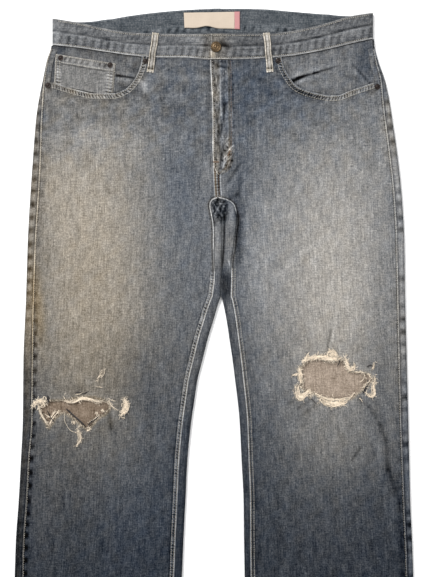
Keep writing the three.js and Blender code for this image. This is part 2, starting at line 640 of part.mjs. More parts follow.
// The label inside the back of the waistband
const LABEL = { from: -48.5, to: 41, below: 4.5, height: 27, wall: 1 };
function label() {
  const columns = 9;
  return wallGeometry(3, columns, (i, j) => {
    const x = mix(LABEL.from, LABEL.to, j / (columns - 1));
    const down = waist("backTop", x) + LABEL.below + (LABEL.height * i) / 2;
    const z = BAND_WALL + SEAM_GAP;
    return { outer: [x, toY(down), z + LABEL.wall], inner: [x, toY(down), z] };
  });
}

// Metal
function turned(profile, segments) {
  const points = profile.map(([radius, height]) => new THREE.Vector2(radius, height));
  return new THREE.LatheGeometry(points, segments).rotateX(Math.PI / 2);
}
const BUTTON_PROFILE = [
  [0, 0], [3.8, 0], [3.8, 0.9], [7.4, 0.9], [8.6, 1.7], [8.6, 2.5], [7.8, 3.1], [6.8, 2.9], [6.2, 2.4], [3, 2.8], [0, 3],
];
const RIVET_PROFILE = [[0, 0], [4.5, 0], [4.5, 0.6], [3.6, 1.1], [2.2, 1.1], [1.7, 0.8], [1.2, 1.4], [0, 1.6]];
const RIVETS = {
  rivet_right_outer: { x: -266, down: 123.5, on: frontTop },
  rivet_right_inner: { x: -109.5, down: 84.8, on: frontTop },
  rivet_left_outer: { x: 261.5, down: 125.5, on: frontTop },
  rivet_left_inner: { x: 102.8, down: 84.5, on: frontTop },
  rivet_coin_outer: { x: -246, down: 79.5, on: (x, down) => facingTop(x, down) + SEAM_GAP + FACING_WALL },
  rivet_coin_inner: { x: -166, down: 93, on: (x, down) => facingTop(x, down) + SEAM_GAP + FACING_WALL },
};

// The frayed rims: a narrow ring parted from the rip's edge, with strands fused to it
const FRAY = { parted: 0.5, low: 6.2, high: 8.4, wide: 1.7, strand: 0.55, strands: 48 };
const stray = (k, seed) => {
  const value = Math.sin(k * 12.9898 + seed * 78.233) * 43758.5453;
  return value - Math.floor(value);
};

// A flat ring between two outlines with the same number of points.
function ringGeometry(outside, inside, low, high) {
  const count = outside.length;
  const points = [[outside, high], [inside, high], [inside, low], [outside, low]]
    .flatMap(([line, z]) => line.flatMap(([x, y]) => [x, y, z]));
  const faces = [];
  for (let side = 0; side < 4; side++) {
    for (let k = 0; k < count; k++) {
      const [a, b] = [side * count + k, side * count + ((k + 1) % count)];
      const [c, d] = [((side + 1) % 4) * count + ((k + 1) % count), ((side + 1) % 4) * count + k];
      faces.push(a, b, c, a, c, d);
    }
  }
  return facingOut(new THREE.BufferGeometry()
    .setAttribute("position", new THREE.Float32BufferAttribute(points, 3))
    .setIndex(faces));
}

// Whether a point lies within an outline.
function within(x, y, line) {
  let inside = false;
  line.forEach(([x1, y1], k) => {
    const [x0, y0] = line[(k + line.length - 1) % line.length];
    if (y0 > y !== y1 > y && x < ((x1 - x0) * (y - y0)) / (y1 - y0) + x0) inside = !inside;
  });
  return inside;
}

function fray(rip, seed) {
  const [outside, inside] = [ripPoints(rip, FRAY.parted), ripPoints(rip, FRAY.parted + FRAY.wide)];
  let solid = toManifold(ringGeometry(outside, inside, FRAY.low, FRAY.high));
  const middle = ripPoints(rip, FRAY.parted + FRAY.wide / 2).map(([x, y]) => new THREE.Vector3(x, y, 0));
  const rim = new THREE.CurvePath();
  middle.forEach((point, k) => rim.add(new THREE.LineCurve3(point, middle[(k + 1) % middle.length])));
  for (let k = 0; k < FRAY.strands; k++) {
    const at = (k + 0.35 * stray(k, seed)) / FRAY.strands;
    const root = rim.getPoint(at % 1);
    const along = rim.getTangent(at % 1);
    const inwards = k % 3 !== 0;
    const lean = (stray(k, seed + 1) - 0.5) * 1.1;
    const heading = Math.atan2(along.y, along.x) + (inwards ? -1 : 1) * (Math.PI / 2) + lean;
    const rise = inwards ? -0.12 : 0.06;
    const direction = new THREE.Vector3(Math.cos(heading), Math.sin(heading), rise).normalize();
    let long = inwards ? mix(5, 13, stray(k, seed + 2)) : mix(5, 10, stray(k, seed + 3));
    const clear = ripPoints(rip, FRAY.parted + FRAY.strand);
    while (inwards && !within(root.x + long * direction.x, root.y + long * direction.y, clear)) long *= 0.8;
    const strand = new THREE.ConeGeometry(FRAY.strand, long, 3)
      .translate(0, long / 2, 0)
      .applyQuaternion(new THREE.Quaternion().setFromUnitVectors(new THREE.Vector3(0, 1, 0), direction))
      .translate(root.x, root.y, inwards ? FRAY.low + 1.1 : FRAY.high + 0.1);
    solid = solid.add(toManifold(strand));
  }
  return toGeometry(solid);
}

// The garment
const jeans = new THREE.Group();
function add(name, geometry, material, place = [0, 0, 0]) {
  const mesh = new THREE.Mesh(geometry, material);
  mesh.name = name;
  mesh.position.set(...place);
  jeans.add(mesh);
}

for (const side of ["right", "left"]) {
  add("front_" + side, frontPanel(side), cloth(COLOURS.denim));
  const yokeLevels = [WAIST_SIDE - 4, ...HIP_LEVELS.filter((level) => level > WAIST_SIDE + 1 && level <= YOKE_LEVEL)];
  const backLevels = [...HIP_LEVELS.filter((level) => level >= YOKE_LEVEL), ...LEG_LEVELS];
  add("yoke_" + side, cut(backPanel(side, yokeLevels, 0), aboveYoke(), ...loopRecesses), cloth(COLOURS.denim));
  add("back_" + side, cut(backPanel(side, backLevels, SEAM_GAP), pocketRecess(side)), cloth(COLOURS.inside));
  add("waistband_" + side, bandFront(side), cloth(COLOURS.denim));
  add("pocket_facing_" + side, cut(facing(side), aboveFront()), cloth(COLOURS.faded));
  add("back_pocket_" + side, prism(backPocketPoints(side), 0, FLAT_PIECE), cloth(COLOURS.denim));
}
add("waistband_back", bandBack(), cloth(COLOURS.denim));
add("coin_pocket", coinPocket(), cloth(COLOURS.faded));
add("fly_placket", fly(), cloth(COLOURS.denim));
for (const [name, loop] of Object.entries(FRONT_LOOPS)) add(name, frontLoop(loop), cloth(COLOURS.faded));
for (const [name, loop] of Object.entries(BACK_LOOPS)) {
  add(name, prism(backLoopPoints(loop), 0, FLAT_PIECE), cloth(COLOURS.denim));
}
add("label", label(), cloth(COLOURS.label));
const BUTTON_PLACE = [3.2, toY(62.4)];
const buttonSeat = bandTop(BUTTON_PLACE[0]) + SEAM_GAP;
add("button", turned(BUTTON_PROFILE, 18), metal(COLOURS.brass), [...BUTTON_PLACE, buttonSeat]);
for (const [name, { x, down, on }] of Object.entries(RIVETS)) {
  add(name, turned(RIVET_PROFILE, 8), metal(COLOURS.copper), [x, toY(down), on(x, down) + SEAM_GAP]);
}
add("fray_right", fray(RIP_RIGHT, 1), cloth(COLOURS.thread));
add("fray_left", fray(RIP_LEFT, 5), cloth(COLOURS.thread));

export default jeans;
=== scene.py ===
"""The looks of a pair of ripped blue jeans laid flat, front up.

Lengths are in millimetres until a mesh is made. x runs towards the wearer's left leg, and down is the
distance below the back of the waist, so Y = LENGTH / 2 - down. Each surface is worked out with numpy on a grid
of two parameters.
"""

import bpy
import numpy as np
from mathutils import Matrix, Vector


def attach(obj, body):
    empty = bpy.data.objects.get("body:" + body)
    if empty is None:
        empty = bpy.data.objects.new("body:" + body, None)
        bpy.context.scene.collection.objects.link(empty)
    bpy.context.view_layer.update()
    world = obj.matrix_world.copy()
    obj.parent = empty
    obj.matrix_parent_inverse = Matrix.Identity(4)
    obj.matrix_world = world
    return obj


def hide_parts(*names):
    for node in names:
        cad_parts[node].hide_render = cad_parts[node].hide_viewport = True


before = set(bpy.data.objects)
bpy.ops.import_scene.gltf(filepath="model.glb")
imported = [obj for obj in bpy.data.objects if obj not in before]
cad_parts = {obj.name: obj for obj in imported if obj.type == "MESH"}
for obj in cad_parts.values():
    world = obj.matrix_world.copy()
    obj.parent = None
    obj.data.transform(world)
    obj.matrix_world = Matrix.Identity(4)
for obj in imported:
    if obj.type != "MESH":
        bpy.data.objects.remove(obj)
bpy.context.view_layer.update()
MM = 0.001
ROOT = "root"

# Sizes that the solids share
LENGTH = 1117.0
TOP = 7.5
CLOTH = 1.3  # thickness of one layer of denim
FOLD_UNDER, FOLD_OVER, FLAT_STEP = 3.8, 7.0, 10.0
SEAM_GAP = 0.3
WAIST_SIDE, HIP_END = 58.5, 290.0
CROTCH, CURL_START, CURL_FULL = 304.0, 298.0, 303.5
BAND_TOP = 8.3
HEM_HEIGHT = 13.0
CELL, STRIP_STEP = 2.8, 1.05  # sizes of the cells of the large panels and along the narrow strips
FAR = 99.0  # stands for any distance at which a line has no effect
FRONT_END = LENGTH - 2.9
YOKE_LEVEL, YOKE_DIP = 93.0, 36.0
FACING_DROP = 1.7  # from the face of a front panel to the facing under it
POCKET_MIDDLE, POCKET_TOP, POCKET_HALF, POCKET_TAPER = 130, 152, 78, 9  # back pockets
POCKET_SIDE, POCKET_POINT = 132, 158  # their length at the sides and at the point
BACK_FACE = 0.12  # the outside of the back lies this high above the floor
FRAY_TOP = TOP + 3.4  # no yarn rises higher
STATIONS = 14  # places along each loose thread
SIDES = {"right": -1.0, "left": 1.0}
SIDE_FOLD = {"right": 259.0, "left": 255.0}  # where the waistband folds, outwards from x = 0

WAIST = {
    "x": [-259, -215, -175, -135, -95, -50, -6, 40, 80, 120, 155, 185, 217, 255],
    "front_top": [16, 23.4, 32.4, 38.4, 40.6, 41.3, 40.8, 40.8, 40.8, 37, 30.2, 22.4, 13, 6.8],
    "front_bottom": [58.5, 63.5, 69.5, 75.2, 78.8, 78.8, 82, 81.6, 79.8, 76.5, 70.8, 64.8, 56.8, 48.5],
    "back_top": [16, 20.9, 17.4, 10.8, 5.6, 1.7, -0.4, -0.6, 0.2, 3.6, 6.6, 9.1, 11.2, 6.8],
    "back_bottom": [58.5, 62, 59, 53, 48, 43.5, 41.4, 41, 42, 46, 49.5, 52, 53, 48.5],
}
CENTRE = {"down": [0, 80, 243, 304, 342, 400, 461, 1117], "x": [3, 4.8, 4, 6.4, 13, 12, 11.2, 11.2]}
LEG_DOWN = [0, 58, 83, 115, 147, 179, 243, 307, 371, 467, 563, 659, 723, 787, 851, 909, LENGTH]
OUTER = {
    "right": [258, 260.5, 268, 274.5, 281, 285.5, 290.5, 295, 298.5, 301.5, 305.5, 306.5, 309.5, 313, 317.5,
              319.5, 326],
    "left": [254, 257, 263, 274, 281, 286, 295, 301.5, 305, 306.5, 309, 311.5, 313, 314.5, 317.5, 319.5, 326],
}
OUTSEAM = {
    "right": [0, 0, 0.6, 2, 6, 8.5, 11.5, 12.5, 12, 11.5, 14, 14, 12, 12, 12, 12.5, 12],
    "left": [0, 0.5, 3, 6, 10, 11.5, 12, 12, 12, 11.5, 12, 12, 11, 10, 10, 10, 10],
}
INNER = {
    "down": [461, 467, 499, 531, 563, 595, 627, 659, 723, 787, 851, 909, LENGTH],
    "right": [-11.2, -8.8, 0.8, 10.4, 18.4, 26.4, 31.2, 36, 42.4, 45.6, 48.8, 51.2, 60],
    "left": [11.5, 13.4, 20, 24.8, 29.6, 33.6, 37.6, 40.8, 44, 47.2, 48, 49, 57],
}
INSEAM = {
    "down": [303.5, 306, 309, 316, 330, 356, 382, 410, 430, 461, 504, 627, 909, LENGTH],
    "right": [0, 7, 10.5, 13.5, 14.5, 12.5, 12, 10.5, 9.5, 12.5, 14, 13, 12, 12],
    "left": [0, 10, 17, 23, 23.5, 21, 18.5, 15, 15.5, 15, 14, 12, 9, 10],
}
SCOOP = {
    "right": ([-115, -116, -120, -129, -144, -162, -190, -213, -236, -257, -276],
              [76, 87, 100, 117, 131, 136.5, 136.5, 132.5, 126, 119, 114]),
    "left": ([107.5, 112, 120.5, 131.5, 147, 167, 186, 198.5, 217, 237.5, 255, 276],
             [77, 95, 110.5, 124, 131.5, 137, 140, 139.5, 132.5, 125.5, 119.5, 114]),
}
# Rips: their middle, and their outline across and up from it, clockwise
RIP = {
    "right": ((-220, 642),
              [-53, -44, -23, -8, 9, 24, 40, 50, 55, 46, 33, 25, 18, 9, -7, -18, -26, -34, -41, -44, -50,
               -56, -58, -58],
              [10, 14, 14, 15, 19, 20, 15, 11, 5, -7, -15, -26, -33, -26, -12, -5, -6, -15, -26, -30, -21,
               -10, -1, 5]),
    "left": ((194, 594),
             [-55, -46, -38, -26, -14, -2, 8, 13, 15, 22, 32, 42, 54, 60, 54, 48, 34, 27, 18, 2, -13, -22,
              -31, -45, -53, -55, -52, -56],
             [20, 29, 34, 33, 29, 28, 32, 31, 24, 13, 12, 12, 8, 0, -8, -14, -24, -30, -32, -33, -32, -28,
              -24, -20, -16, -8, 0, 10]),
}
# Folds: x, down, turn from across towards the waist on the left, half length, half width, rise, and sharpness
FOLDS = np.array([
    [42, 352, 86, 60, 11, -1.9, 2], [55, 330, 80, 75, 12, 0.3, 2], [26, 270, 55, 34, 9, -1.4, 2],
    [40, 282, 70, 26, 8, 0.35, 2], [-14, 352, 88, 55, 14, -0.9, 2], [-40, 300, 60, 60, 16, -0.8, 2],
    [135, 385, 38, 60, 9, -0.8, 2], [200, 600, 65, 40, 9, -0.9, 2], [268, 720, 112, 66, 10, -1.8, 2],
    [284, 835, 108, 80, 10, -1.5, 2], [252, 700, 112, 70, 12, 0.35, 2], [228, 712, 35, 26, 9, -1, 2],
    [-60, 210, 15, 80, 20, -0.9, 2], [95, 215, -12, 70, 18, -0.9, 2], [180, 250, -30, 90, 20, -0.7, 2],
    [-200, 200, 25, 70, 22, -0.8, 2], [-235, 520, 80, 130, 26, -0.8, 2], [-120, 560, 84, 150, 34, -0.7, 2],
    [-75, 650, 60, 60, 16, -0.9, 2], [-230, 900, 82, 120, 24, -0.9, 2], [-120, 960, 95, 120, 28, -0.8, 2],
    [110, 620, 100, 120, 26, -0.8, 2], [120, 900, 84, 150, 26, -0.9, 2], [220, 990, 96, 90, 22, -1, 2],
    [190, 450, 80, 110, 34, -0.6, 2],
])
# Fine creases that only the looks have
CREASES = np.array([
    [262, 662, 118, 46, 3.5, -1.1, 1.5], [278, 735, 100, 48, 3.2, -1.3, 1.5],
    [293, 815, 112, 50, 3.2, -1.1, 1.5], [300, 905, 95, 70, 3.5, -0.8, 1.5],
    [240, 640, 125, 20, 3.0, -0.9, 1.5], [184, 545, 78, 26, 3.0, -1.0, 1.5], [226, 715, 42, 20, 3.0, -1.0, 1.5],
    [148, 640, 50, 16, 3.0, -0.7, 1.5], [138, 388, 38, 50, 4.0, -0.6, 1.5], [28, 290, 60, 26, 3.4, -1.0, 1.5],
    [44, 262, 74, 20, 3.4, -0.7, 1.5], [-20, 300, 100, 50, 4.5, -0.7, 1.5], [-8, 222, 80, 30, 3.6, -0.6, 1.5],
    [32, 238, 64, 26, 3.4, -0.9, 1.5], [-168, 655, 92, 18, 3.0, -0.9, 1.5], [-92, 700, 70, 40, 6, -0.5, 1.5],
    [-250, 800, 82, 70, 6, -0.5, 1.5], [110, 760, 96, 80, 7, -0.5, 1.5], [70, 560, 84, 90, 7, -0.5, 1.5],
    [-70, 480, 74, 80, 7, -0.5, 1.5], [-60, 140, 20, 50, 6, -0.5, 1.5], [70, 150, -20, 40, 6, -0.6, 1.5],
    [-150, 190, -8, 60, 6, -0.4, 1.5],
])
# Brightness of the cloth on a 0 to 255 scale, by distance below the back of the waist
BASE_SHADE = {"down": [60, 100, 160, 240, 330, 460, 560, 640, 720, 800, 880, LENGTH],
              "shade": [96, 92, 98, 104, 106, 100, 88, 78, 68, 61, 56, 53]}
# Faded and darker areas, among them painted shade along the fold beside the crotch: x, down, half width,
# half length, turn, brighter by, warmer by, squareness
FADES = np.array([
    [-200, 440, 104, 320, 3, 46, 30, 2.6], [-226, 290, 58, 60, 0, 3, 0, 2],
    [186, 465, 96, 290, -2, 58, 18, 2.4], [70, 420, 40, 120, 0, 22, 2, 2], [-2, 123, 9, 36, 0, 18, 10, 2],
    [-38, 62, 28, 22, 0, 10, 0, 2], [78, 128, 62, 54, -10, -8, -6, 2], [-142, 132, 34, 14, 5, -12, -4, 2],
    [-56, 290, 26, 74, 0, -8, -6, 2], [278, 190, 16, 90, -6, 14, 4, 2], [0, 248, 30, 60, 0, 4, 4, 2],
    [37, 345, 15, 84, 0, -22, -3, 2], [42, 230, 24, 130, 0, -12, -3, 2], [-36, 570, 26, 100, -14, 6, 2, 2],
    [205, 700, 80, 50, 0, 14, 5, 2], [-150, 740, 60, 60, 0, 2, 0, 2], [-282, 480, 10, 70, 3, 2, 24, 2],
    [-120, 225, 60, 22, 14, 10, 2, 2], [150, 176, 66, 28, -12, -12, -3, 2], [-272, 330, 18, 130, 0, -10, 0, 2],
    [-112, 124, 10, 12, 30, 24, 5, 2], [-270, 205, 26, 40, 0, -10, -4, 2], [140, 146, 40, 18, -6, -12, -3, 2],
    [-112, 600, 30, 70, 0, -16, -8, 2], [38, 345, 20, 40, 0, -8, 0, 2], [-212, 205, 60, 30, 0, -3, -9, 2],
    [-130, 800, 70, 130, 0, 0, -7, 2], [-272, 800, 22, 100, 0, 10, 3, 2], [292, 590, 18, 190, -3, 11, 5, 3],
    [-166, 575, 34, 60, 0, -10, -2, 2], [38, 500, 24, 60, 0, -9, -2, 2], [214, 480, 46, 50, 0, 8, 1, 2],
    [88, 596, 24, 24, 0, 14, 0, 2], [38, 208, 18, 20, 0, 9, 0, 2], [-262, 275, 20, 60, 0, 8, 5, 2],
    [-205, 420, 40, 60, 0, -6, 0, 2], [-214, 168, 60, 16, 0, -10, -4, 2], [-205, 205, 80, 14, 4, 10, 3, 2],
    [110, 600, 30, 50, 0, -4, -2, 2],
])
# Painted shade in long folds and painted light on the cloth beside them, with some worn pale and darker
# places, as streaks on the panels: ends, half width, amount
PANEL_STREAKS = [
    (38, 332, 40, 404, 5.5, -30), (43, 272, 38, 298, 3.4, -24), (38, 298, 22, 306, 3.0, -22),
    (50, 268, 46, 300, 4, 12), (52, 330, 56, 400, 7, 8), (42, 248, 21, 279, 2.0, -34),
    (44, 254, 26, 286, 2.6, 14), (-14, 246, -6, 280, 3.0, 8), (14, 262, 13, 300, 2.0, 10),
    (30, 262, 20, 290, 3, 8), (232, 624, 248, 638, 3.0, -20), (248, 638, 266, 667, 3.2, -24),
    (266, 667, 275, 692, 3.4, -26), (275, 692, 279, 738, 3.6, -26), (279, 738, 297, 792, 3.8, -24),
    (297, 792, 301, 905, 3.8, -16), (262, 700, 268, 745, 5, 12), (283, 800, 288, 860, 6, 8),
    (188.5, 512, 181.5, 544, 2.0, -30), (192, 512, 186, 540, 2.6, 14), (221, 723, 234, 703, 2.0, -26),
    (226, 726, 238, 708, 2.6, 12), (135, 640, 152, 628, 2.6, -22), (140, 652, 160, 636, 2.4, -18),
    (120, 632, 134, 626, 2.2, -14), (-168, 645, -164, 672, 3.0, -34), (-160, 645, -157, 668, 3.0, 8),
    (-205, 596, -190, 601, 2.6, 12), (-240, 610, -205, 604, 4.0, -10), (-30, 236, -44, 268, 4.0, -8),
    (98, 428, 178, 364, 5.0, 6), (-104, 108, -18, 112, 6, 15), (-96, 136, -50, 142, 5, 10),
    (-64, 156, -20, 172, 7, -9), (-115, 116, -108, 130, 6, 26), (-119, 116, -113, 122, 3, 16),
    (-20, 128, -16, 200, 8, 5), (66, 316, 120, 330, 8, 6), (-84, 128, -70, 180, 8, -6),
    (70, 112, 92, 132, 7, -10), (110, 150, 150, 158, 6, 10), (164, 154, 210, 150, 6, 8),
    (225, 158, 262, 166, 6, 10), (80, 176, 130, 190, 8, 7), (20, 620, 24, 760, 6, -4),
]


# Curves and fields

def curve(keys, values, at):
    """A table read as a smooth curve: cubic pieces between its rows, with the harmonic mean of the two slopes
    beside each row, so that nothing overshoots."""
    keys, values = np.asarray(keys, float), np.asarray(values, float)
    slope = np.diff(values) / np.diff(keys)
    before, after = slope[:-1], slope[1:]
    same = before * after > 0
    tangent = np.concatenate([slope[:1],
                              np.where(same, 2 * before * after / np.where(same, before + after, 1), 0),
                              slope[-1:]])
    at = np.clip(at, keys[0], keys[-1])
    i = np.clip(np.searchsorted(keys, at, side="right") - 1, 0, len(keys) - 2)
    span = keys[i + 1] - keys[i]
    t = (at - keys[i]) / span
    return ((2 * t**3 - 3 * t**2 + 1) * values[i] + (3 * t**2 - 2 * t**3) * values[i + 1]
            + ((t**3 - 2 * t**2 + t) * tangent[i] + (t**3 - t**2) * tangent[i + 1]) * span)


def smooth(t):
    """An S-curve from 0 to 1."""
    t = np.clip(t, 0, 1)
    return t * t * (3 - 2 * t)


def mix(a, b, t):
    """The straight line from a to b."""
    return a + (b - a) * t


def waist(line, x):
    """How far down one of the four lines of the waist is."""
    return curve(WAIST["x"], WAIST[line], x)


def centre(down):
    """x of the seam between the two legs."""
    return curve(CENTRE["down"], CENTRE["x"], down)


def ripple(x, y, size, seed):
    """A soft random field of about -1 to 1: a sum of plane waves with seeded directions, lengths and phases."""
    rng, waves = np.random.default_rng(seed), 14
    turn = rng.uniform(0, np.pi, waves)
    length, phase = size * rng.uniform(0.6, 1.6, waves), rng.uniform(0, 6.3, waves)
    along = x[..., None] * np.cos(turn) + y[..., None] * np.sin(turn)
    return np.sin(along * 2 * np.pi / length + phase).sum(-1) / np.sqrt(waves)


def beat(s, pitch, seed, even=0.7):
    """An uneven rhythm along a seam, 0 to 1: a sine whose phase and strength wander, with its peaks
    sharpened."""
    wander = 0.9 * ripple(s, 0 * s, pitch * 7, seed) + 0.35 * ripple(s, 0 * s, pitch * 3, seed + 1)
    swell = even + (1 - even) * 1.4 * ripple(s, 0 * s, pitch * 5, seed + 2)
    return np.clip(swell, 0.1, 1) * (0.5 + 0.5 * np.sin(2 * np.pi * s / pitch + wander)) ** 1.6


def bell(v, middle, wide, power=2):
    """exp(-|(v - middle) / wide| ^ power): 1 in the middle, with a flatter top and steeper sides at a higher
    power."""
    return np.exp(-(np.abs((v - middle) / wide) ** power))


def strokes(table, x, down):
    """What a table of short streaks adds: each is a soft bar between two places, with its width and its
    amount."""
    total = np.zeros(np.broadcast(x, down).shape)
    for ax, ad, bx, bd, wide, amount in table:
        vx, vd = bx - ax, bd - ad
        t = np.clip(((x - ax) * vx + (down - ad) * vd) / max(vx * vx + vd * vd, 1e-6), 0, 1)
        total += amount * np.exp(-(((x - ax - t * vx) ** 2 + (down - ad - t * vd) ** 2) / wide**2))
    return total


def fold_heights(table, x, down):
    """The sum of the folds: each a bell across its width and along its length, sharper where its last number is
    small."""
    height = np.zeros(np.broadcast(x, down).shape)
    for fx, fdown, turn, long, wide, rise, sharp in table:
        c, s = np.cos(np.radians(turn)), np.sin(np.radians(turn))
        dx, dy = x - fx, fdown - down
        along, across = (dx * c + dy * s) / long, (dy * c - dx * s) / wide
        height += rise * np.exp(-(along**2)) * np.exp(-(np.abs(across) ** sharp))
    return height


def front_top(x, down):
    """Height of the flat front: level, with its folds, its fine creases and a slow undulation."""
    broad = np.clip(TOP + fold_heights(FOLDS, x, down), 5.2, TOP + 0.4)
    slow = 0.35 * ripple(x, down * 0.6, 70, 11) + 0.16 * ripple(x, down * 0.7, 26, 12)
    slow = slow + 0.12 * ripple(x * 0.75, down * 1.5, 13, 23) * (1 - smooth((down - 170) / 130))
    return broad + fold_heights(CREASES, x, down) + slow * smooth((down - 60) / 60)


def panel_shade(x, down):
    """Brightness and warmth of the washed cloth: the base by height, plus each fade as a soft oval, and painted
    light and shade on the crumples of the hips.
    """
    shade = curve(BASE_SHADE["down"], BASE_SHADE["shade"], down)
    warm = np.full(shade.shape, -8.0)
    for fx, fdown, wide, long, turn, brighter, warmer, square in FADES:
        c, s = np.cos(np.radians(turn)), np.sin(np.radians(turn))
        dx, dy = x - fx, fdown - down
        oval = np.exp(-(np.abs((dx * c + dy * s) / wide) ** square
                        + np.abs((dy * c - dx * s) / long) ** square))
        shade += brighter * oval
        warm += warmer * oval
    shade += 2.5 * ripple(x, down * 0.5, 30, 21) + 2.0 * ripple(x, down, 12, 22)
    crushed = 1 - smooth((down - 170) / 130)
    # At the hips the first ripple matches the crumples that front_top raises, as painted light and shade on
    # them; the others add finer blotches.
    shade += crushed * (5 * ripple(x * 0.75, down * 1.5, 13, 23) + 4 * ripple(x * 0.6, down * 1.3, 30, 24))
    shade += (1.2 + 4 * crushed) * ripple(x * 0.8, down * 1.3, 8.5, 25)
    warm += (1.6 + 1.6 * crushed) * ripple(x, down, 24, 27)
    return shade, warm - 4 * smooth((down - 560) / 120)


def outline(side, down):
    """One leg at a level: where its outer and inner edges and its two seams lie, outwards from x = 0."""
    leaning = smooth((down - CROTCH) / 8) * (1 - smooth((down - 330) / 40))
    touching = SIDES[side] * centre(down) + SEAM_GAP / 2
    apart = curve(INNER["down"], INNER[side], down) + SEAM_GAP / 2
    return {
        "outer": curve(LEG_DOWN, OUTER[side], down),
        "outseam": curve(LEG_DOWN, OUTSEAM[side], down),
        "inner": np.where(down < INNER["down"][0], touching, apart),
        "inseam": np.where(down < INSEAM["down"][0], 0, curve(INSEAM["down"], INSEAM[side], down)),
        "over": FOLD_OVER + 5 * leaning,
    }


def folded_edge(q, top, over, wall=0.0):
    """The outer face of a folded edge, as inset and height: a quarter ellipse from the floor out to the edge
    for q from 0 to 1, a second one up to the flat top at q = 2, and then level. With a wall it is the face that
    much further in."""
    half = TOP / 2
    low, high = np.clip(q, 0, 1) * np.pi / 2, np.clip(q - 1, 0, 1) * np.pi / 2
    inset = np.where(q <= 1, FOLD_UNDER - (FOLD_UNDER - wall) * np.sin(low),
                     over - (over - wall) * np.cos(high))
    inset = np.where(q > 2, over + (q - 2) * FLAT_STEP, inset)
    return inset, np.where(q <= 1, half - (half - wall) * np.cos(low),
                           half + (top - half - wall) * np.sin(high))


def edge_parameter(inset, over):
    """The q of folded_edge at a distance in from the edge."""
    curved = 1 + np.arccos(np.clip(1 - inset / over, -1, 1)) / (np.pi / 2)
    return np.where(inset >= over, 2 + (inset - over) / FLAT_STEP, curved)


# Meshes

def stack(x, down, z):
    """Points on one grid from x, down and z."""
    return np.stack(np.broadcast_arrays(x, LENGTH / 2 - down, z), -1)


def cloth_mesh(name, points, fields, keep, uv, up):
    """A mesh from a grid of points in millimetres, with its fields as point attributes. keep is a mask over the
    cells, and vertices that no kept cell uses are dropped. Its flat part faces up or down."""
    rows, columns = points.shape[:2]
    index = np.arange(rows * columns).reshape(rows, columns)
    quads = np.stack([index[:-1, :-1], index[:-1, 1:], index[1:, 1:], index[1:, :-1]], -1)
    quads = quads[keep] if keep is not None else quads.reshape(-1, 4)
    across, along = points[:-1, 1:] - points[:-1, :-1], points[1:, :-1] - points[:-1, :-1]
    facing_up = (across[..., 0] * along[..., 1] - across[..., 1] * along[..., 0]).sum() > 0
    if facing_up != up:
        quads = quads[:, ::-1]
    used, quads = np.unique(quads, return_inverse=True)
    quads = quads.reshape(-1, 4)
    piece = solid_mesh(name, points.reshape(-1, 3)[used], quads)
    mesh = piece.data
    for field, values in fields.items():
        layer = mesh.attributes.new(field, "FLOAT", "POINT")
        layer.data.foreach_set("value",
                               np.broadcast_to(values, (rows, columns)).reshape(-1)[used].astype(np.float32))
    flat = uv.reshape(-1, 2)[used]
    layer = mesh.uv_layers.new(name="grain")
    layer.data.foreach_set("uv", flat[quads.reshape(-1)].astype(np.float32).reshape(-1))
    return piece


def solid_mesh(name, vertices, faces, smooth_faces=True):
    """A mesh from ready vertices in millimetres, and faces as an array or list of rows of indices."""
    mesh = bpy.data.meshes.new(name)
    faces = faces if isinstance(faces, list) else faces.tolist()
    mesh.from_pydata((np.asarray(vertices) * MM).tolist(), [], faces)
    mesh.polygons.foreach_set("use_smooth", np.full(len(faces), smooth_faces, bool))
    mesh.update()
    piece = bpy.data.objects.new(name, mesh)
    bpy.context.collection.objects.link(piece)
    return piece


def dress(piece, material, slot, *nodes):
    """Gives a piece its material, and says what it rides on and which solids it replaces. slot is not used."""
    piece.data.materials.append(material)
    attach(piece, ROOT)
    if nodes:
        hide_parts(*nodes)


def grid_area(points, keep):
    """The area of a grid in square metres: the cross products of the cells' sides."""
    across, along = points[:-1, 1:] - points[:-1, :-1], points[1:, :-1] - points[:-1, :-1]
    cells = np.linalg.norm(np.cross(across, along), axis=-1)
    return float((cells if keep is None else cells * keep).sum()) * MM * MM


def cut_size(points):
    """The width and length that a cloth was cut to: its longest row and its longest column, laid straight."""
    run = lambda p, axis: float(np.linalg.norm(np.diff(p, axis=axis), axis=-1).sum(axis).max()) * MM
    return run(points, 1), run(points, 0)


def cloth(name, points, shade, warm, uv, slot, nodes, keep=None, thick=0.0, inside=(120, 20), up=True,
          material=None):
    """One layer of cloth: its mesh with the colour fields and its thickness away from its face. inside is the
    brightness and warmth of its inner face, and up is False where its face lies on the floor."""
    fields = {"shade": shade / 255, "warm": warm / 255, "shade_in": np.asarray(inside[0]) / 255,
              "warm_in": np.asarray(inside[1]) / 255}
    shape = points.shape[:2]
    fields = {key: np.broadcast_to(value, shape) for key, value in fields.items()}
    piece = cloth_mesh(name, points, fields, keep, uv, up)
    dress(piece, material or DENIM, slot, *nodes)
    if thick:
        solid = piece.modifiers.new("thickness", "SOLIDIFY")
        solid.thickness, solid.offset = thick * MM, -1
        if material is None:
            piece.data.materials.append(INSIDE)
            solid.material_offset = 1
    width, length = cut_size(points)
    area = grid_area(points, keep)
    min(width, length) >= 0.01


def grain_uv(x, down, side=None):
    """Grain coordinates: across and along the warp, which leans outwards with the leg below the knee."""
    lean = 0.0 if side is None else SIDES[side] * 0.06 * np.clip(down - 300, 0, None)
    return np.stack(np.broadcast_arrays(x - lean, -down), -1) * MM


# Materials

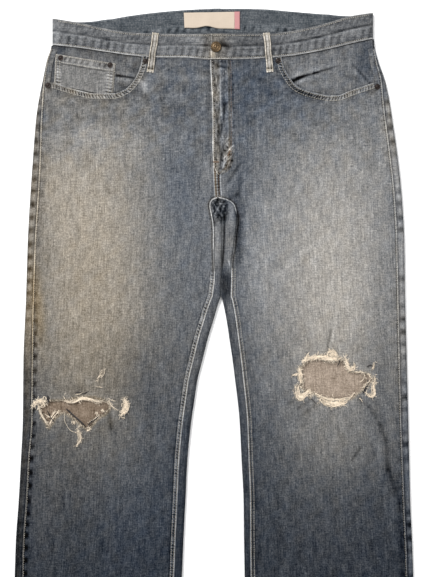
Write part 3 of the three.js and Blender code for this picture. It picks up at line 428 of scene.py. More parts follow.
class Nodes:
    """A material's node tree, with short calls for the nodes that these finishes use."""

    def __init__(self, name, **sockets):
        self.material = bpy.data.materials.new(name)
        self.material.use_nodes = True
        self.tree = self.material.node_tree
        self.shader = self.tree.nodes["Principled BSDF"]
        for socket, value in sockets.items():
            self.shader.inputs[socket.replace("_", " ")].default_value = value

    def node(self, kind, inputs=(), **settings):
        node = self.tree.nodes.new(kind)
        for key, value in settings.items():
            setattr(node, key, value)
        for key, value in dict(inputs).items():
            if isinstance(value, bpy.types.NodeSocket):
                self.tree.links.new(value, node.inputs[key])
            else:
                node.inputs[key].default_value = value
        return node

    def math(self, operation, a, b, c=0.0, clamp=False):
        return self.node("ShaderNodeMath", {0: a, 1: b, 2: c}, operation=operation, use_clamp=clamp).outputs[0]

    def blend(self, factor, a, b):
        """A colour from a to b."""
        ends = {"Factor": factor, "A": tuple(a) + (1,), "B": tuple(b) + (1,)}
        return self.node("ShaderNodeMix", ends, data_type="RGBA").outputs["Result"]

    def add(self, *terms):
        total = terms[0]
        for term in terms[1:]:
            total = self.math("ADD", total, term)
        return total

    def field(self, name):
        return self.node("ShaderNodeAttribute", attribute_name=name).outputs["Fac"]

    def place(self, source, scale, turn=0.0):
        """Coordinates scaled per metre, along the "grain" or of the "object"."""
        if source == "grain":
            out = self.node("ShaderNodeUVMap", uv_map="grain").outputs[0]
        else:
            out = self.node("ShaderNodeTexCoord").outputs["Object"]
        return self.node("ShaderNodeMapping",
                         {"Vector": out, "Scale": scale, "Rotation": (0, 0, turn)}).outputs[0]

    def noise(self, vector, detail):
        """Noise from -0.5 to 0.5 about its middle."""
        noise = self.node("ShaderNodeTexNoise",
                          {"Vector": vector, "Scale": 1.0, "Detail": detail, "Roughness": 0.6})
        return self.math("SUBTRACT", noise.outputs["Fac"], 0.5)

    def link(self, socket, value):
        self.tree.links.new(value, self.shader.inputs[socket])

    def bump(self, height, strength, distance):
        bump = self.node("ShaderNodeBump", {"Height": height, "Strength": strength, "Distance": distance})
        self.link("Normal", bump.outputs[0])


LIGHT = 1.45
STREAKS = [
    # across per metre, along per metre, strength: the warp, from long slubs to short ones, then the weft
    (520, 26, 0.24), (640, 110, 0.18), (700, 330, 0.37), (130, 640, 0.24), (190, 50, 0.15), (90, 60, 0.09),
    (60, 520, 0.10),
]


def denim(name, shade="shade", warm="warm", contrast=1.0, tint=(0.36, -0.04, -0.64)):
    """Washed denim: the brightness and warmth fields, plus warp streaks, weft flecks and a fine twill line,
    taken from the 0 to 1 display scale to light. Bright threads are a little warmer than the dark ones."""
    m = Nodes(name, Roughness=0.95, Specular_IOR_Level=0.08)
    streaks = m.add(*[m.math("MULTIPLY", m.noise(m.place("grain", (across, along, 1)), 1.0),
                             strength * contrast)
                      for across, along, strength in STREAKS])
    lines = m.node("ShaderNodeTexWave",
                   {"Vector": m.place("grain", (1, 1, 1), 0.6), "Scale": 180.0, "Distortion": 1.2,
                                         "Detail": 1.0, "Detail Scale": 3.0}, wave_type="BANDS")
    line = m.math("SUBTRACT", lines.outputs["Fac"], 0.5)
    level = m.field(shade)
    # Darker cloth shows less of its white weft, so its threads differ less.
    depth = m.math("MULTIPLY_ADD", level, 0.667, 0.667)
    value = m.add(level, m.math("MULTIPLY", streaks, depth), m.math("MULTIPLY", line, 0.035))
    heat = m.add(m.field(warm), m.math("MULTIPLY", streaks, 0.10))
    colour = m.node("ShaderNodeCombineColor", {channel: m.math("ADD", value, m.math("MULTIPLY", heat, share))
                                               for channel, share in zip(("Red", "Green", "Blue"), tint)})
    # LIGHT is how much brighter than its own colour a level surface is shown.
    shown = m.node("ShaderNodeGamma", {"Color": colour.outputs[0], "Gamma": 2.2})
    lit = m.node("ShaderNodeVectorMath", {0: shown.outputs[0], "Scale": 1 / LIGHT}, operation="SCALE")
    m.link("Base Color", lit.outputs[0])
    m.bump(m.add(m.math("MULTIPLY", streaks, 0.6), m.math("MULTIPLY", line, 0.5)), 0.35, 0.0006)
    return m.material


def plain_cloth(name, colour, speck=0.12, weave=500, tone=None):
    """A smooth tape or yarn: one colour, with a fine plain weave and a few darker specks."""
    m = Nodes(name, Roughness=0.85, Specular_IOR_Level=0.1)
    colour = tuple(c / LIGHT for c in colour)
    weave_a = m.noise(m.place("object", (weave, weave * 0.2, weave)), 1.0)
    weave_b = m.noise(m.place("object", (weave * 0.2, weave, weave)), 1.0)
    soil = m.noise(m.place("object", (40, 40, 40)), 3.0)
    value = m.add(*[m.math("MULTIPLY", field, speck) for field in (weave_a, weave_b, soil)])
    dark, pale = [c * 0.72 for c in colour], [min(1, c * 1.22) for c in colour]
    shown = m.blend(m.math("ADD", value, 0.5, clamp=True), dark, pale)
    if tone:
        shown = m.node("ShaderNodeVectorMath", {0: shown, "Scale": m.field(tone)}, operation="SCALE").outputs[0]
    m.link("Base Color", shown)
    m.bump(m.add(weave_a, weave_b), 0.3, 0.0004)
    return m.material


def metal(name, colour, dark, roughness):
    """Aged metal: bright where it is rubbed, dark tarnish in patches and specks."""
    m = Nodes(name, Metallic=1.0)
    patch = m.noise(m.place("object", (420, 420, 420)), 4.0)
    fine = m.noise(m.place("object", (2400, 2400, 2400)), 2.0)
    rubbed = m.math("MULTIPLY_ADD", m.add(patch, m.math("MULTIPLY", fine, 0.5)), 1.8, 0.5, clamp=True)
    m.link("Base Color", m.blend(rubbed, dark, colour))
    m.link("Roughness", m.math("MULTIPLY_ADD", fine, 0.3, roughness))
    m.bump(m.add(patch, fine), 0.25, 0.0003)
    return m.material


DENIM = denim("washed denim")
INSIDE = denim("inside of denim", "shade_in", "warm_in", 0.95, (0.42, -0.10, -0.60))
LABEL_CLOTH = plain_cloth("woven label", (0.68, 0.57, 0.46))
LABEL_END = plain_cloth("muted red label end", (0.62, 0.30, 0.30))
THREAD = plain_cloth("seam thread", (0.56, 0.52, 0.45), 0.3, 900)
YARN = plain_cloth("frayed yarn", (1.05, 0.91, 0.73), 0.16, 700, "tone")
# Near-black yarn for the rolled edges of the rips: partly their dye, partly painted shadow under them
DYE_AND_SHADOW_YARN = plain_cloth("dyed yarn and painted shadow", (0.055, 0.052, 0.052), 0.3, 700, "tone")
BROWN_THREAD = plain_cloth("brown seam thread", (0.24, 0.15, 0.10), 0.3, 900)
TACK_THREAD = plain_cloth("pale bar tack thread", (0.66, 0.60, 0.50), 0.3, 900)
BRASS = metal("aged brass", (0.17, 0.118, 0.068), (0.05, 0.034, 0.02), 0.42)
COPPER = metal("aged copper", (0.05, 0.04, 0.036), (0.010, 0.009, 0.009), 0.5)


# Openings cut into a fine grid

def inside(x, y, line):
    """Whether each point lies within a closed line: an odd number of its sides lie to the right of the
    point."""
    ax, ay = line[:, 0], line[:, 1]
    bx, by = np.roll(ax, -1), np.roll(ay, -1)
    px, py = x[..., None], y[..., None]
    crosses = (ay > py) != (by > py)
    at = ax + (py - ay) * (bx - ax) / np.where(by == ay, 1e-9, by - ay)
    return (crosses & (px < at)).sum(-1) % 2 == 1


def nearest(x, y, line):
    """The nearest point of a closed line to each point, and its distance."""
    a, b = line, np.roll(line, -1, 0)
    p = np.stack([x, y], -1)[..., None, :]
    t = np.clip(((p - a) * (b - a)).sum(-1) / ((b - a) ** 2).sum(-1), 0, 1)
    foot = a + t[..., None] * (b - a)
    distance = np.linalg.norm(p - foot, axis=-1)
    pick = distance.argmin(-1)
    rows = np.indices(pick.shape)
    return foot[tuple(rows) + (pick,)], distance[tuple(rows) + (pick,)]


def open_hole(points, keep, line):
    """Takes the cells whose middles lie within a closed line out of the mask, and moves the vertices on the
    border between kept and dropped cells onto the line."""
    middle = (points[:-1, :-1] + points[1:, :-1] + points[:-1, 1:] + points[1:, 1:]) / 4
    gone = inside(middle[..., 0], middle[..., 1], line)
    keep &= ~gone
    near_gone, near_kept = np.zeros(points.shape[:2], bool), np.zeros(points.shape[:2], bool)
    for di in (0, 1):
        for dj in (0, 1):
            shape = (slice(di, di + gone.shape[0]), slice(dj, dj + gone.shape[1]))
            near_gone[shape] |= gone
            near_kept[shape] |= keep
    border = near_gone & near_kept
    foot, _ = nearest(points[border][:, 0], points[border][:, 1], line)
    points[border, 0], points[border, 1] = foot[:, 0], foot[:, 1]
    return keep


def gap_to(line, points, near):
    """The distance to a closed line at the points where near holds, and FAR elsewhere."""
    gap = np.full(near.shape, FAR)
    gap[near] = nearest(points[near][:, 0], points[near][:, 1], line)[1]
    return gap


def ragged(line, amount, step, seed):
    """A closed line resampled at even steps, with a small random in-and-out."""
    closed = np.vstack([line, line[:1]])
    run = np.concatenate([[0], np.cumsum(np.linalg.norm(np.diff(closed, axis=0), axis=1))])
    at = np.arange(0, run[-1], step)
    even = np.stack([np.interp(at, run, closed[:, k]) for k in (0, 1)], -1)
    ahead = np.roll(even, -1, 0) - np.roll(even, 1, 0)
    normal = np.stack([ahead[:, 1], -ahead[:, 0]], -1) / np.linalg.norm(ahead, axis=1)[:, None]
    rng = np.random.default_rng(seed)
    return even + normal * amount * rng.normal(0, 1, len(even))[:, None]


def rip_line(side):
    """The closed outline of a rip."""
    (x, down), across, up = RIP[side]
    return np.stack([x + np.array(across, float), LENGTH / 2 - down + np.array(up, float)], -1)


def scoop_line(side):
    """The scooped pocket edge closed round above the waistband and beyond the fold."""
    x, down = SCOOP[side]
    fine = np.linspace(0, 1, 60)
    run = np.concatenate([[0], np.cumsum(np.hypot(np.diff(x), np.diff(down)))])
    run = run / run[-1]
    edge = np.stack([curve(run, x, fine), LENGTH / 2 - curve(run, down, fine)], -1)
    beyond, top = SIDES[side] * 330, LENGTH / 2
    return np.vstack([edge, [[beyond, top - 114], [beyond, top + 20], [x[0], top + 20]]])


# Panels

def curve_left(level):
    """How much of the curve of the waist a row at a level still follows."""
    return 1 - smooth((level - WAIST_SIDE) / (HIP_END - WAIST_SIDE))


def front_surface(side, x, down):
    """Height, brightness and warmth of a front panel at any place: the fold, the folds and fades of the cloth
    with painted shade and light along the folds, the broad hollows beside its seams, and a painted shadow just
    under the waistband."""
    o = outline(side, down)
    out = SIDES[side] * x
    inset = np.maximum(o["outer"] - out, 0.05)
    top = front_top(x, down)
    z = np.where(inset < o["over"], folded_edge(edge_parameter(inset, o["over"]), top, o["over"])[1], top)
    shade, warm = panel_shade(x, down)
    from_out, from_in = inset - o["outseam"], out - o["inner"] - o["inseam"]
    marks = beat(down, 21, 31)
    band = bell(from_out, 5, 5) * smooth((down - 150) / 60)
    shade -= (22 if side == "right" else 6) * marks * band
    z -= 0.4 * marks * band
    leg = smooth((down - 440) / 40)
    shade -= 14 * bell(from_in, 9, 5) * beat(down, 14, 35) * leg
    # A painted shadow just under the lower edge of the waistband
    below_band = down - waist("front_bottom", x)
    shade -= 20 * bell(below_band, 0, 3.5)
    if side == "right":
        shade -= 14 * bell(x, -7, 4) * (1 - smooth((down - 240) / 20))
    shade += strokes(PANEL_STREAKS, x, down)
    return z, shade, warm


def front_grid(side, level, flat=98, wall=0.0):
    """A front panel, or a layer a wall's thickness under it: across from the outseam over the fold to the
    centre seam or inseam, and down by levels. Near the top its rows follow the curve of the waist."""
    level = np.asarray(level, float)[:, None]
    fold = 6
    j = np.arange(fold + flat + 1)[None, :]
    share = np.where(j <= fold, 1, 1 - (j - fold) / flat)
    real = level + 0 * j
    for _ in range(4):
        o = outline(side, real)
        start = edge_parameter(o["outseam"], o["over"]) + 0.02
        q = mix(start, np.maximum(2.3, start + 0.3), np.minimum(j, fold) / fold)
        inset = folded_edge(q, TOP, o["over"], wall)[0]
        seam = np.where(o["inseam"] > 0, o["inseam"] + SEAM_GAP, 0)
        out = np.where(j <= fold, o["outer"] - inset, mix(o["inner"] + seam, o["outer"] - inset, share))
        x = SIDES[side] * out
        real = level + (waist("front_bottom", x) - WAIST_SIDE) * curve_left(level)
    return x, real, q, np.broadcast_to(j <= fold, x.shape), o


def front_panel(side):
    """A front panel, with its scoop and its rip cut through. It sinks a little beside the scoop and has painted
    shade along the foot of the scoop's hem, and round the rip it is uneven and worn pale."""
    x, down = front_grid(side, np.arange(WAIST_SIDE + SEAM_GAP, FRONT_END, CELL))[:2]
    z, shade, warm = front_surface(side, x, down)
    points = stack(x, down, z)
    keep = np.ones((points.shape[0] - 1, points.shape[1] - 1), bool)
    scoop = scoop_line(side)
    keep = open_hole(points, keep, scoop)
    gap = gap_to(scoop[:-3], points, down < 170)
    points[..., 2] -= 0.5 * bell(gap, 0, 6)
    # Painted shade along the foot of the scoop's hem
    shade = shade - 16 * bell(gap, 12, 3)
    tear = ragged(rip_line(side), 0.5, 1.6, 51)
    keep = open_hole(points, keep, tear)
    rx, rdown = RIP[side][0]
    gap = gap_to(tear, points, (np.abs(x - rx) < 100) & (np.abs(down - rdown) < 90))
    points[..., 2] += (0.8 * ripple(x, down, 26, 53) + 0.4) * bell(gap, 0, 7, 1.5)
    shade = shade + (44 if side == "left" else 16) * bell(gap, 0, 1.6) + 8 * bell(gap, 4, 4)
    warm = warm + 20 * bell(gap, 0, 2.4)
    cloth(f"front_{side}_cloth", points, shade, warm, grain_uv(x, down, side), "denim", [f"front_{side}"],
          keep=keep,
          thick=CLOTH, inside=(116, 22))


def back_level(side, level, share):
    """The level of a back panel's row: it follows the back of the waist at the top and dips towards the
    centre."""
    x = mix(centre(level), SIDES[side] * SIDE_FOLD[side], share)
    real = level + (waist("back_bottom", x) - WAIST_SIDE) * curve_left(level)
    dip = YOKE_DIP * smooth((level - WAIST_SIDE - SEAM_GAP) / (YOKE_LEVEL - WAIST_SIDE - SEAM_GAP))
    return real + dip * (1 - share) * (1 - smooth((level - YOKE_LEVEL) / 170))


def back_grid(side, levels):
    """A back panel: up from the inseam round the inner edge, across the floor, and round the outer edge to the
    outseam. Above the crotch its inner edge lies flat at the centre seam and only turns up over a few
    millimetres."""
    sign, flat, curl = SIDES[side], 46, 18
    level = np.asarray(levels, float)[:, None]
    j = np.arange(curl + flat + curl + 1)[None, :]
    share = np.clip((j - curl) / flat, 0, 1)
    real = back_level(side, level, share)
    o = outline(side, real)
    rising = np.clip((real - CURL_START) / (CURL_FULL - CURL_START), 0, 1)
    turned = np.where(real <= CURL_FULL, rising, edge_parameter(o["inseam"], o["over"]) - 0.02)
    short = np.where(turned < 1, FOLD_UNDER * (1 - np.sin(np.clip(turned, 0, 1) * np.pi / 2)), 0)
    edge = o["inner"] - short
    spread = 14 * (1 - np.minimum(turned, 1))
    q_in = turned * (1 - np.clip(j / curl, 0, 1))
    x_in = edge + spread * np.clip(j / curl, 0, 1) + folded_edge(q_in, TOP, o["over"])[0]
    z_in = folded_edge(q_in, front_top(sign * x_in, real), o["over"])[1]
    outer_q = edge_parameter(o["outseam"], o["over"]) - 0.02
    q_out = outer_q * np.clip((j - curl - flat) / curl, 0, 1)
    x_out = o["outer"] - folded_edge(q_out, TOP, o["over"])[0]
    z_out = folded_edge(q_out, front_top(sign * x_out, real), o["over"])[1]
    x_floor = mix(edge + FOLD_UNDER + spread, o["outer"] - FOLD_UNDER, share)
    inner, outer = np.broadcast_to(j < curl, real.shape), np.broadcast_to(j > curl + flat, real.shape)
    pick = lambda a, b, c: np.where(inner, a, np.where(outer, b, c))
    x, z, q = pick(x_in, x_out, x_floor), pick(z_in, z_out, 0 * real), pick(q_in, q_out, 0 * real)
    return sign * x, real, z, q, inner, o


def under_pieces(x, down):
    """How much of the back is pressed up by the pieces sewn on it: 1 under the pockets and loops, 0
    elsewhere."""
    across = np.abs(np.abs(x) - POCKET_MIDDLE)
    wide = POCKET_HALF - POCKET_TAPER * smooth((down - POCKET_TOP) / 140)
    foot = POCKET_TOP + POCKET_SIDE + (POCKET_POINT - POCKET_SIDE) * (1 - across / POCKET_HALF)
    lifted = (smooth((wide + 4 - across) / 4) * smooth((down - POCKET_TOP + 4) / 4)
              * smooth((foot + 4 - down) / 4))
    for lx, top in BACK_LOOPS.values():
        loop = smooth((10 - np.abs(x - lx)) / 4) * smooth((down - top + 4) / 4) * smooth((top + 66 - down) / 5)
        lifted = np.maximum(lifted, loop)
    return lifted


# The crossed seams that show in the hollow of the crotch
HOLLOW_STREAKS = [
    (-3, 309, 13, 332, 1.2, 64), (14, 307, 0, 332, 1.2, 64), (2, 306, 19, 319, 1.2, 44),
    (4, 334, 8, 344, 1.6, 40), (-4, 318, 2, 340, 1.4, 40), (18, 312, 8, 336, 1.2, 40),
    (-2, 326, 10, 316, 1.2, 34), (6, 312, 20, 312, 1.2, 30),
]


def back_cloth(side, levels, name, node, slot):
    """A back panel or yoke, with its side of the outseam and inseam, which show from the front, painted shade
    on its rounded edges, and painted shade in the hollow of the crotch.
    """
    x, down, z, wrap, inner, o = back_grid(side, levels)
    left, on_floor = side == "left", wrap < 0.02
    shade, warm = panel_shade(x, down)
    out = SIDES[side] * x
    to_seam = np.where(inner, o["inner"] + o["inseam"] - out, out - (o["outer"] - o["outseam"]))
    upper = smooth((wrap - 0.8) / 0.3)
    outer_face = upper * ~inner
    # Painted shade on the turned-up edges, where they round away
    shade = shade * 0.94 - 14 * bell(to_seam, 12, 4) * upper
    marks = beat(down, 20.5, 33 if left else 32, 0.6 if left else 0.9)
    band = bell(to_seam, 7, 5) * outer_face * smooth((down - 110) / 60)
    if left:
        worn = 42 - 84 * marks
    else:
        worn = 18 - 82 * marks * (1 - 0.85 * smooth((down - 420) / 120)) - 24 * smooth((down - 500) / 100)
        tan = bell(down, 490, 70) * outer_face
        shade += 6 * tan
        warm += 12 * tan
    # The dark line at the seam is painted shade in the groove where the front meets it
    shade += worn * band - 34 * bell(to_seam, 0.6, 1.2) * outer_face
    warm = warm + (10 * bell(down, 200, 70) if left else 8) * band
    z = z - 0.4 * marks * band
    # Painted shade in the hollow of the crotch, seen from the front, and painted shadow in the slit below it
    hollow = bell(x, 8, 14.5, 6) * bell(down, 322, 21 - 0.35 * (x - 8), 6) * inner
    shade += (-60 + 26 * ripple(x * 1.2, down, 7, 73) + strokes(HOLLOW_STREAKS, x, down)) * hollow
    below = bell(down, 375, 36, 4) * inner * upper
    # Lighter strips below the hollow, and a painted shadow line along the right leg's inseam
    shade += (26 if left else 34) * below - 60 * bell(x, 0.2, 1.4) * bell(down, 362, 22, 4) * inner
    if left:
        shade += 34 * bell(x, 27, 6, 4) * bell(down, 332, 22, 4) * inner
        shade -= 44 * bell(x, 20, 8, 4) * bell(down, 442, 22, 4) * inner
        crossed = bell(x, 26 + 0.5 * (down - 410), 1.2) + bell(x, 29 - 0.4 * (down - 414), 1.2)
        shade += 70 * crossed * bell(down, 412, 9, 4) * inner
    warm += 6 * below
    # Painted shadow in the slit between the two strips
    slit = curve([330, 344, 380, 408, 425], [17, 16.4, 15.4, 13.6, 12.6], down)
    shade -= 96 * bell(x, slit, 1.5) * bell(down, 374, 40, 6) * inner
    z = np.where(on_floor, z + 1.05 * under_pieces(x, down), z)
    # The cloth stands up a little under the rip
    rx, rdown = RIP[side][0]
    z = z + 3.6 * bell(x, rx, 74, 4) * bell(down, rdown, 62, 4) * on_floor
    within = 112 + 34 * bell(down, 594, 120) * left + 6 * bell(down, 642, 120) + 3 * ripple(x, down, 20, 71)
    cloth(name, stack(x, down, z), shade, warm, grain_uv(x, down, side), slot, [node], thick=CLOTH,
          inside=(within, 4 + 26 * bell(down, 618, 150, 4)), up=False)


def back_panels(side):
    """The yoke and the back panel of one side. The rows are closest where the inner edge turns up at the
    crotch."""
    yoke = np.linspace(WAIST_SIDE + SEAM_GAP, YOKE_LEVEL, 12)
    rows = np.concatenate([np.arange(YOKE_LEVEL + SEAM_GAP, CURL_START, 4.5), np.linspace(CURL_START, 316, 18),
                           np.arange(317.5, 420, 1.8), np.arange(422, LENGTH, 3.3), [LENGTH]])
    back_cloth(side, yoke, f"yoke_{side}_cloth", f"yoke_{side}", "denim")
    back_cloth(side, rows, f"back_{side}_cloth", f"back_{side}", "denim_back")


# Seams and hems laid on the panels as narrow strips of fine mesh

def trail(points, step):
    """A smooth path through a few places: its running length, the places, and the direction to its left."""
    points = np.asarray(points, float)
    run = np.concatenate([[0], np.cumsum(np.hypot(*np.diff(points, axis=0).T))])
    s = np.linspace(0, run[-1], max(int(run[-1] / step), 2) + 1)
    at = np.stack([curve(run, points[:, 0], s), curve(run, points[:, 1], s)], -1)
    ahead = np.gradient(at, axis=0)
    ahead /= np.maximum(np.linalg.norm(ahead, axis=1), 1e-9)[:, None]
    return s, at, np.stack([ahead[:, 1], -ahead[:, 0]], -1)


def scoop_path(side):
    """The pocket edge as a path, without its last place, which lies beyond the fold."""
    return np.array(SCOOP[side], float).T[:-1]


def seam_path(side, seam, down):
    """The outseam or the inseam of a leg as a path."""
    o = outline(side, down)
    out = o["outer"] - o["outseam"] if seam == "outseam" else o["inner"] + o["inseam"]
    return np.stack([SIDES[side] * out, down], -1)


def strip(name, side, path, v, relief):
    """A seam allowance or hem: a strip along a path, v millimetres to its left, laid on the front panel. relief
    gives its height above the panel, and what it adds to the brightness and the warmth, from s, v, x and
    down."""
    s, at, left = trail(path, STRIP_STEP)
    x = at[:, :1] + left[:, :1] * v[None, :]
    down = at[:, 1:] + left[:, 1:] * v[None, :]
    z, shade, warm = front_surface(side, x, down)
    dz, dshade, dwarm = relief(s[:, None] + 0 * x, v[None, :] + 0 * x, x, down)
    cloth(name, stack(x, down, z + dz), shade + dshade, warm + dwarm, grain_uv(x, down, side), "denim", [])


def scoop_hem(side):
    """The turned edge of a front pocket: a raised band with a bright worn edge, two sunk rows and short
    slanting puckers between them, with painted shade in the row nearer the edge and along the band's inner
    edge."""
    sign = SIDES[side]
    v = -sign * np.linspace(-0.6, 10.5, 12)

    def relief(s, v, x, down):
        v = -sign * v
        body = smooth((v + 0.6) / 1.2) * smooth((10.4 - v) / 2.2)
        slant = beat(s + 0.5 * v, 4.6, 81, 0.9)
        slow = beat(s, 13, 83)
        z = (-0.7 + 1.5 * body - 0.35 * bell(v, 2.2, 0.8) - 0.35 * bell(v, 7.8, 0.8)
             - 0.5 * slant * bell(v, 5, 2.6))
        # Painted shade in the sunk row at 2.2 mm and where the band falls away at its inner edge; the bright
        # edge is worn
        shade = 60 * bell(v, 0.4, 0.9) - 40 * bell(v, 2.2, 0.9) - 44 * bell(v, 9.8, 1.2)
        pale = 1 - (0.9 * bell(x, 148, 36, 4) if side == "left" else 0.3 * bell(x, -235, 30, 4))
        shade += (46 * pale - 92 * slant - 20 * slow) * bell(v, 5, 2.8, 4)
        shade += (44 * pale - 34 * slant) * bell(v, 7.9, 1.0)
        return z, shade, 5 * bell(v, 4, 4)

    strip(f"scoop_hem_{side}", side, scoop_path(side), v, relief)


def side_seam(side):
    """The front edge of the outseam: a bright worn ridge with painted shade in the groove beside it, and dark
    hollows along it."""
    path = seam_path(side, "outseam", np.arange(64, LENGTH - 3, 6.0))
    v = -SIDES[side] * np.linspace(0.0, 10.6, 12)

    def relief(s, v, x, down):
        v = np.abs(v)
        marks = beat(s, 20.5, 31 if side == "right" else 85, 0.94)
        fine = beat(s, 5.2, 87)
        start = smooth((s - 20) / 40)
        z = -0.25 + 0.75 * bell(v, 2.2, 2.4, 4) + 0.6 * smooth((v - 2.4) / 1.6) * smooth((10.4 - v) / 1.8)
        z -= 0.25 * marks * bell(v, 5, 3)
        # The dark line at 2.5 mm is painted shade in the groove beside the worn ridge
        shade = (84 - 44 * fine) * bell(v, 0.7, 0.8) - 44 * bell(v, 2.5, 0.9) + 8 * bell(v, 5, 1.4)
        dark = marks * bell(v, 5.0, 3.4, 4) * start
        shade -= ((54 * smooth((down - 330) / 200) + 10 if side == "right" else 12) * dark
                  + 10 * fine * bell(v, 5, 2))
        warm = 8 * bell(v, 0.7, 1.0)
        if side == "right":
            warm += (10 + 16 * bell(down, 500, 80)) * bell(v, 0.8, 1.0)
        return z, shade, warm

    strip(f"outseam_edge_{side}", side, path, v, relief)


def inner_seam(side):
    """The front edge of an inseam. On the right leg its bright edge runs down to the knot of the crotch and a
    double stitched ladder follows; on the left leg a short bright arc gives way to an edge in painted shade,
    then to a narrow bright one. A painted shadow line runs just inside the bright edge."""
    down = np.concatenate([[303.6, 304.3, 305.2, 306.5, 309], np.arange(312, 430, 4.0),
                           np.arange(430, LENGTH - 3, 6.0)])
    path = seam_path(side, "inseam", down) + [SIDES[side] * SEAM_GAP, 0]
    v = SIDES[side] * np.linspace(0.0, 10.6, 12)

    def relief(s, v, x, down):
        v = np.abs(v)
        fine = beat(s + 0.4 * v, 5.0, 91)
        coarse = beat(s, 14, 93)
        leg = smooth((down - 418) / 10) * (1 if side == "right" else 0.35)
        # lit dims the bright edge: on the left leg it lies in painted shade beside the crotch; on the right it
        # fades near the knot
        if side == "right":
            lit = 1.25 - 0.9 * bell(down, 402, 18, 4)
        else:
            lit = 1.25 - 1.2 * smooth((down - 322) / 10) * (1 - smooth((down - 414) / 6))
        z = -0.25 + 0.7 * bell(v, 2.6, 2.8, 4) + 0.55 * smooth((v - 2.8) / 1.6) * smooth((10.4 - v) / 1.8)
        z -= 0.25 * fine * bell(v, 4, 2)
        # A painted shadow line at 3 mm, just inside the bright edge
        shade = (88 - 24 * fine) * bell(v, 0.8, 1.0) * lit - (40 - 14 * leg) * bell(v, 3.0, 1.1)
        shade += (62 - 130 * fine) * bell(v, 4.6, 1.7, 4) * leg - 20 * coarse * bell(v, 6.5, 2) * leg
        shade += 34 * bell(v, 7.2, 0.9) * leg - 36 * bell(v, 9.0, 1.1) * leg
        return z, shade, 8 * bell(v, 2, 3)

    strip(f"inseam_edge_{side}", side, path, v, relief)


def leg_hem(side):
    """The turned-up hem at the foot of a leg: a double thickness with a stitched upper edge, painted shade
    where that edge steps down, and slanting ropes."""
    o = outline(side, np.array([LENGTH - 6.0]))
    first, last = o["inner"][0] + o["inseam"][0] + 1, o["outer"][0] - o["outseam"][0] - 0.5
    x = SIDES[side] * np.linspace(first, last, 12)
    path = np.stack([x, np.full(12, LENGTH - 3.4)], -1)
    v = SIDES[side] * np.linspace(-0.4, HEM_HEIGHT, 10)

    def relief(s, v, x, down):
        v = np.abs(v)
        rope = beat(s + 0.8 * v, 12, 95)
        z = -0.3 + 1.2 * smooth((v + 0.4) / 1.5) * smooth((HEM_HEIGHT - v) / 1.2) - 0.5 * rope * bell(v, 6, 5)
        shade = (34 * bell(v, 0.5, 1.1) + (12 - 38 * rope) * bell(v, 6, 4.5, 4)
                 + 12 * bell(v, HEM_HEIGHT - 2, 0.8))
        # Painted shade where the hem's upper edge steps down to the leg
        return z, shade - 14 * bell(v, HEM_HEIGHT, 1.0), 8 * bell(v, 0.5, 1.4)

    strip(f"leg_hem_{side}", side, path, v, relief)


RISE_START = 5.5  # its edge lies this far to the right of the centre seam


def rise_seam():
    """The felled seam between the fly and the crotch, on the right front: two rows of brown stitching over
    short crosswise puckers."""
    down = np.arange(246, 305, 4.0)
    path = np.stack([centre(down) - RISE_START, down], -1)
    v = np.linspace(-1.0, 13.0, 17)

    def relief(s, v, x, down):
        fine = beat(s, 4.4, 97, 0.9)
        long = beat(s, 11, 98, 0.5)
        z = (-0.3 + smooth((v + 1) / 1.5) * smooth((13 - v) / 1.5) - 0.35 * bell(v, 3, 0.8)
             - 0.35 * bell(v, 7.6, 0.8))
        shade = (26 - 70 * fine) * bell(v, 5, 4, 4)
        shade -= (40 + 50 * long) * bell(v, 3.0, 1.0) + (80 - 40 * long) * bell(v, 7.8, 1.1)
        shade += (96 - 50 * fine) * bell(v, 11.2, 1.0) + (66 - 40 * long) * bell(v, 0.6, 0.9)
        shade += (44 - 60 * long) * bell(v, 5.3, 0.9)
        shade -= 30 * bell(v, 9.6, 0.8) + 20 * bell(v, 12.8, 0.8)
        return z, shade, 24 * bell(v, 3.0, 2.0, 4) + 10 * bell(v, 7.6, 1.4)

    strip("rise_seam", "right", path, v, relief)


# Waistband

FLY_EDGE = -5.7


def band_top(x):
    """Height of the waistband: the end that carries the button lies over the other end."""
    return BAND_TOP + np.where(x > FLY_EDGE - 0.2, 1 - smooth((x - 12) / 22), 0)


def band_relief(across, height, s, seed):
    """The relief and the brightness of a topstitched band: bright edges, sunk stitch lines with painted shade
    in them, a painted shadow along the buckle in its middle, a ridge below its middle, and slanting puckers in
    its lower half. across is the distance from its upper edge."""
    edge = np.minimum(across, height - across)
    part = across / height
    slant = beat(s + 0.2 * across, 12, seed, 0.8)
    soft = beat(s + 0.6 * across, 9, seed + 3)
    low = smooth((part - 0.5) / 0.1) * (1 - smooth((part - 0.9) / 0.07))
    high = bell(part, 0.2, 0.16)
    z = -1.0 * bell(edge, 0, 0.9) - 0.3 * bell(edge, 3.2, 0.8) - 0.5 * bell(part, 0.47, 0.04)
    z += (0.35 - 0.8 * slant) * low + (0.15 - 0.4 * soft) * high
    shade = 140 * bell(height - across, 0.7, 1.0) + 44 * bell(across, 0.7, 1.0)
    # Painted shade in the sunk stitch lines
    shade += -36 * bell(height - across, 3.0, 1.0) - 20 * bell(across, 3.2, 1.0)
    # A painted shadow along the lengthwise buckle in the middle of the band
    shade -= 44 * (0.6 + 0.4 * ripple(s, 0 * s, 40, seed + 5)) * bell(part, 0.45, 0.035)
    shade += (15 - 40 * slant) * low + (8 - 24 * soft) * high + 22 * bell(part, 0.54, 0.04)
    warm = 10 * bell(height - across, 0.8, 1.2) + 10 * bell(across, 0.7, 1.2)
    return z, shade, warm


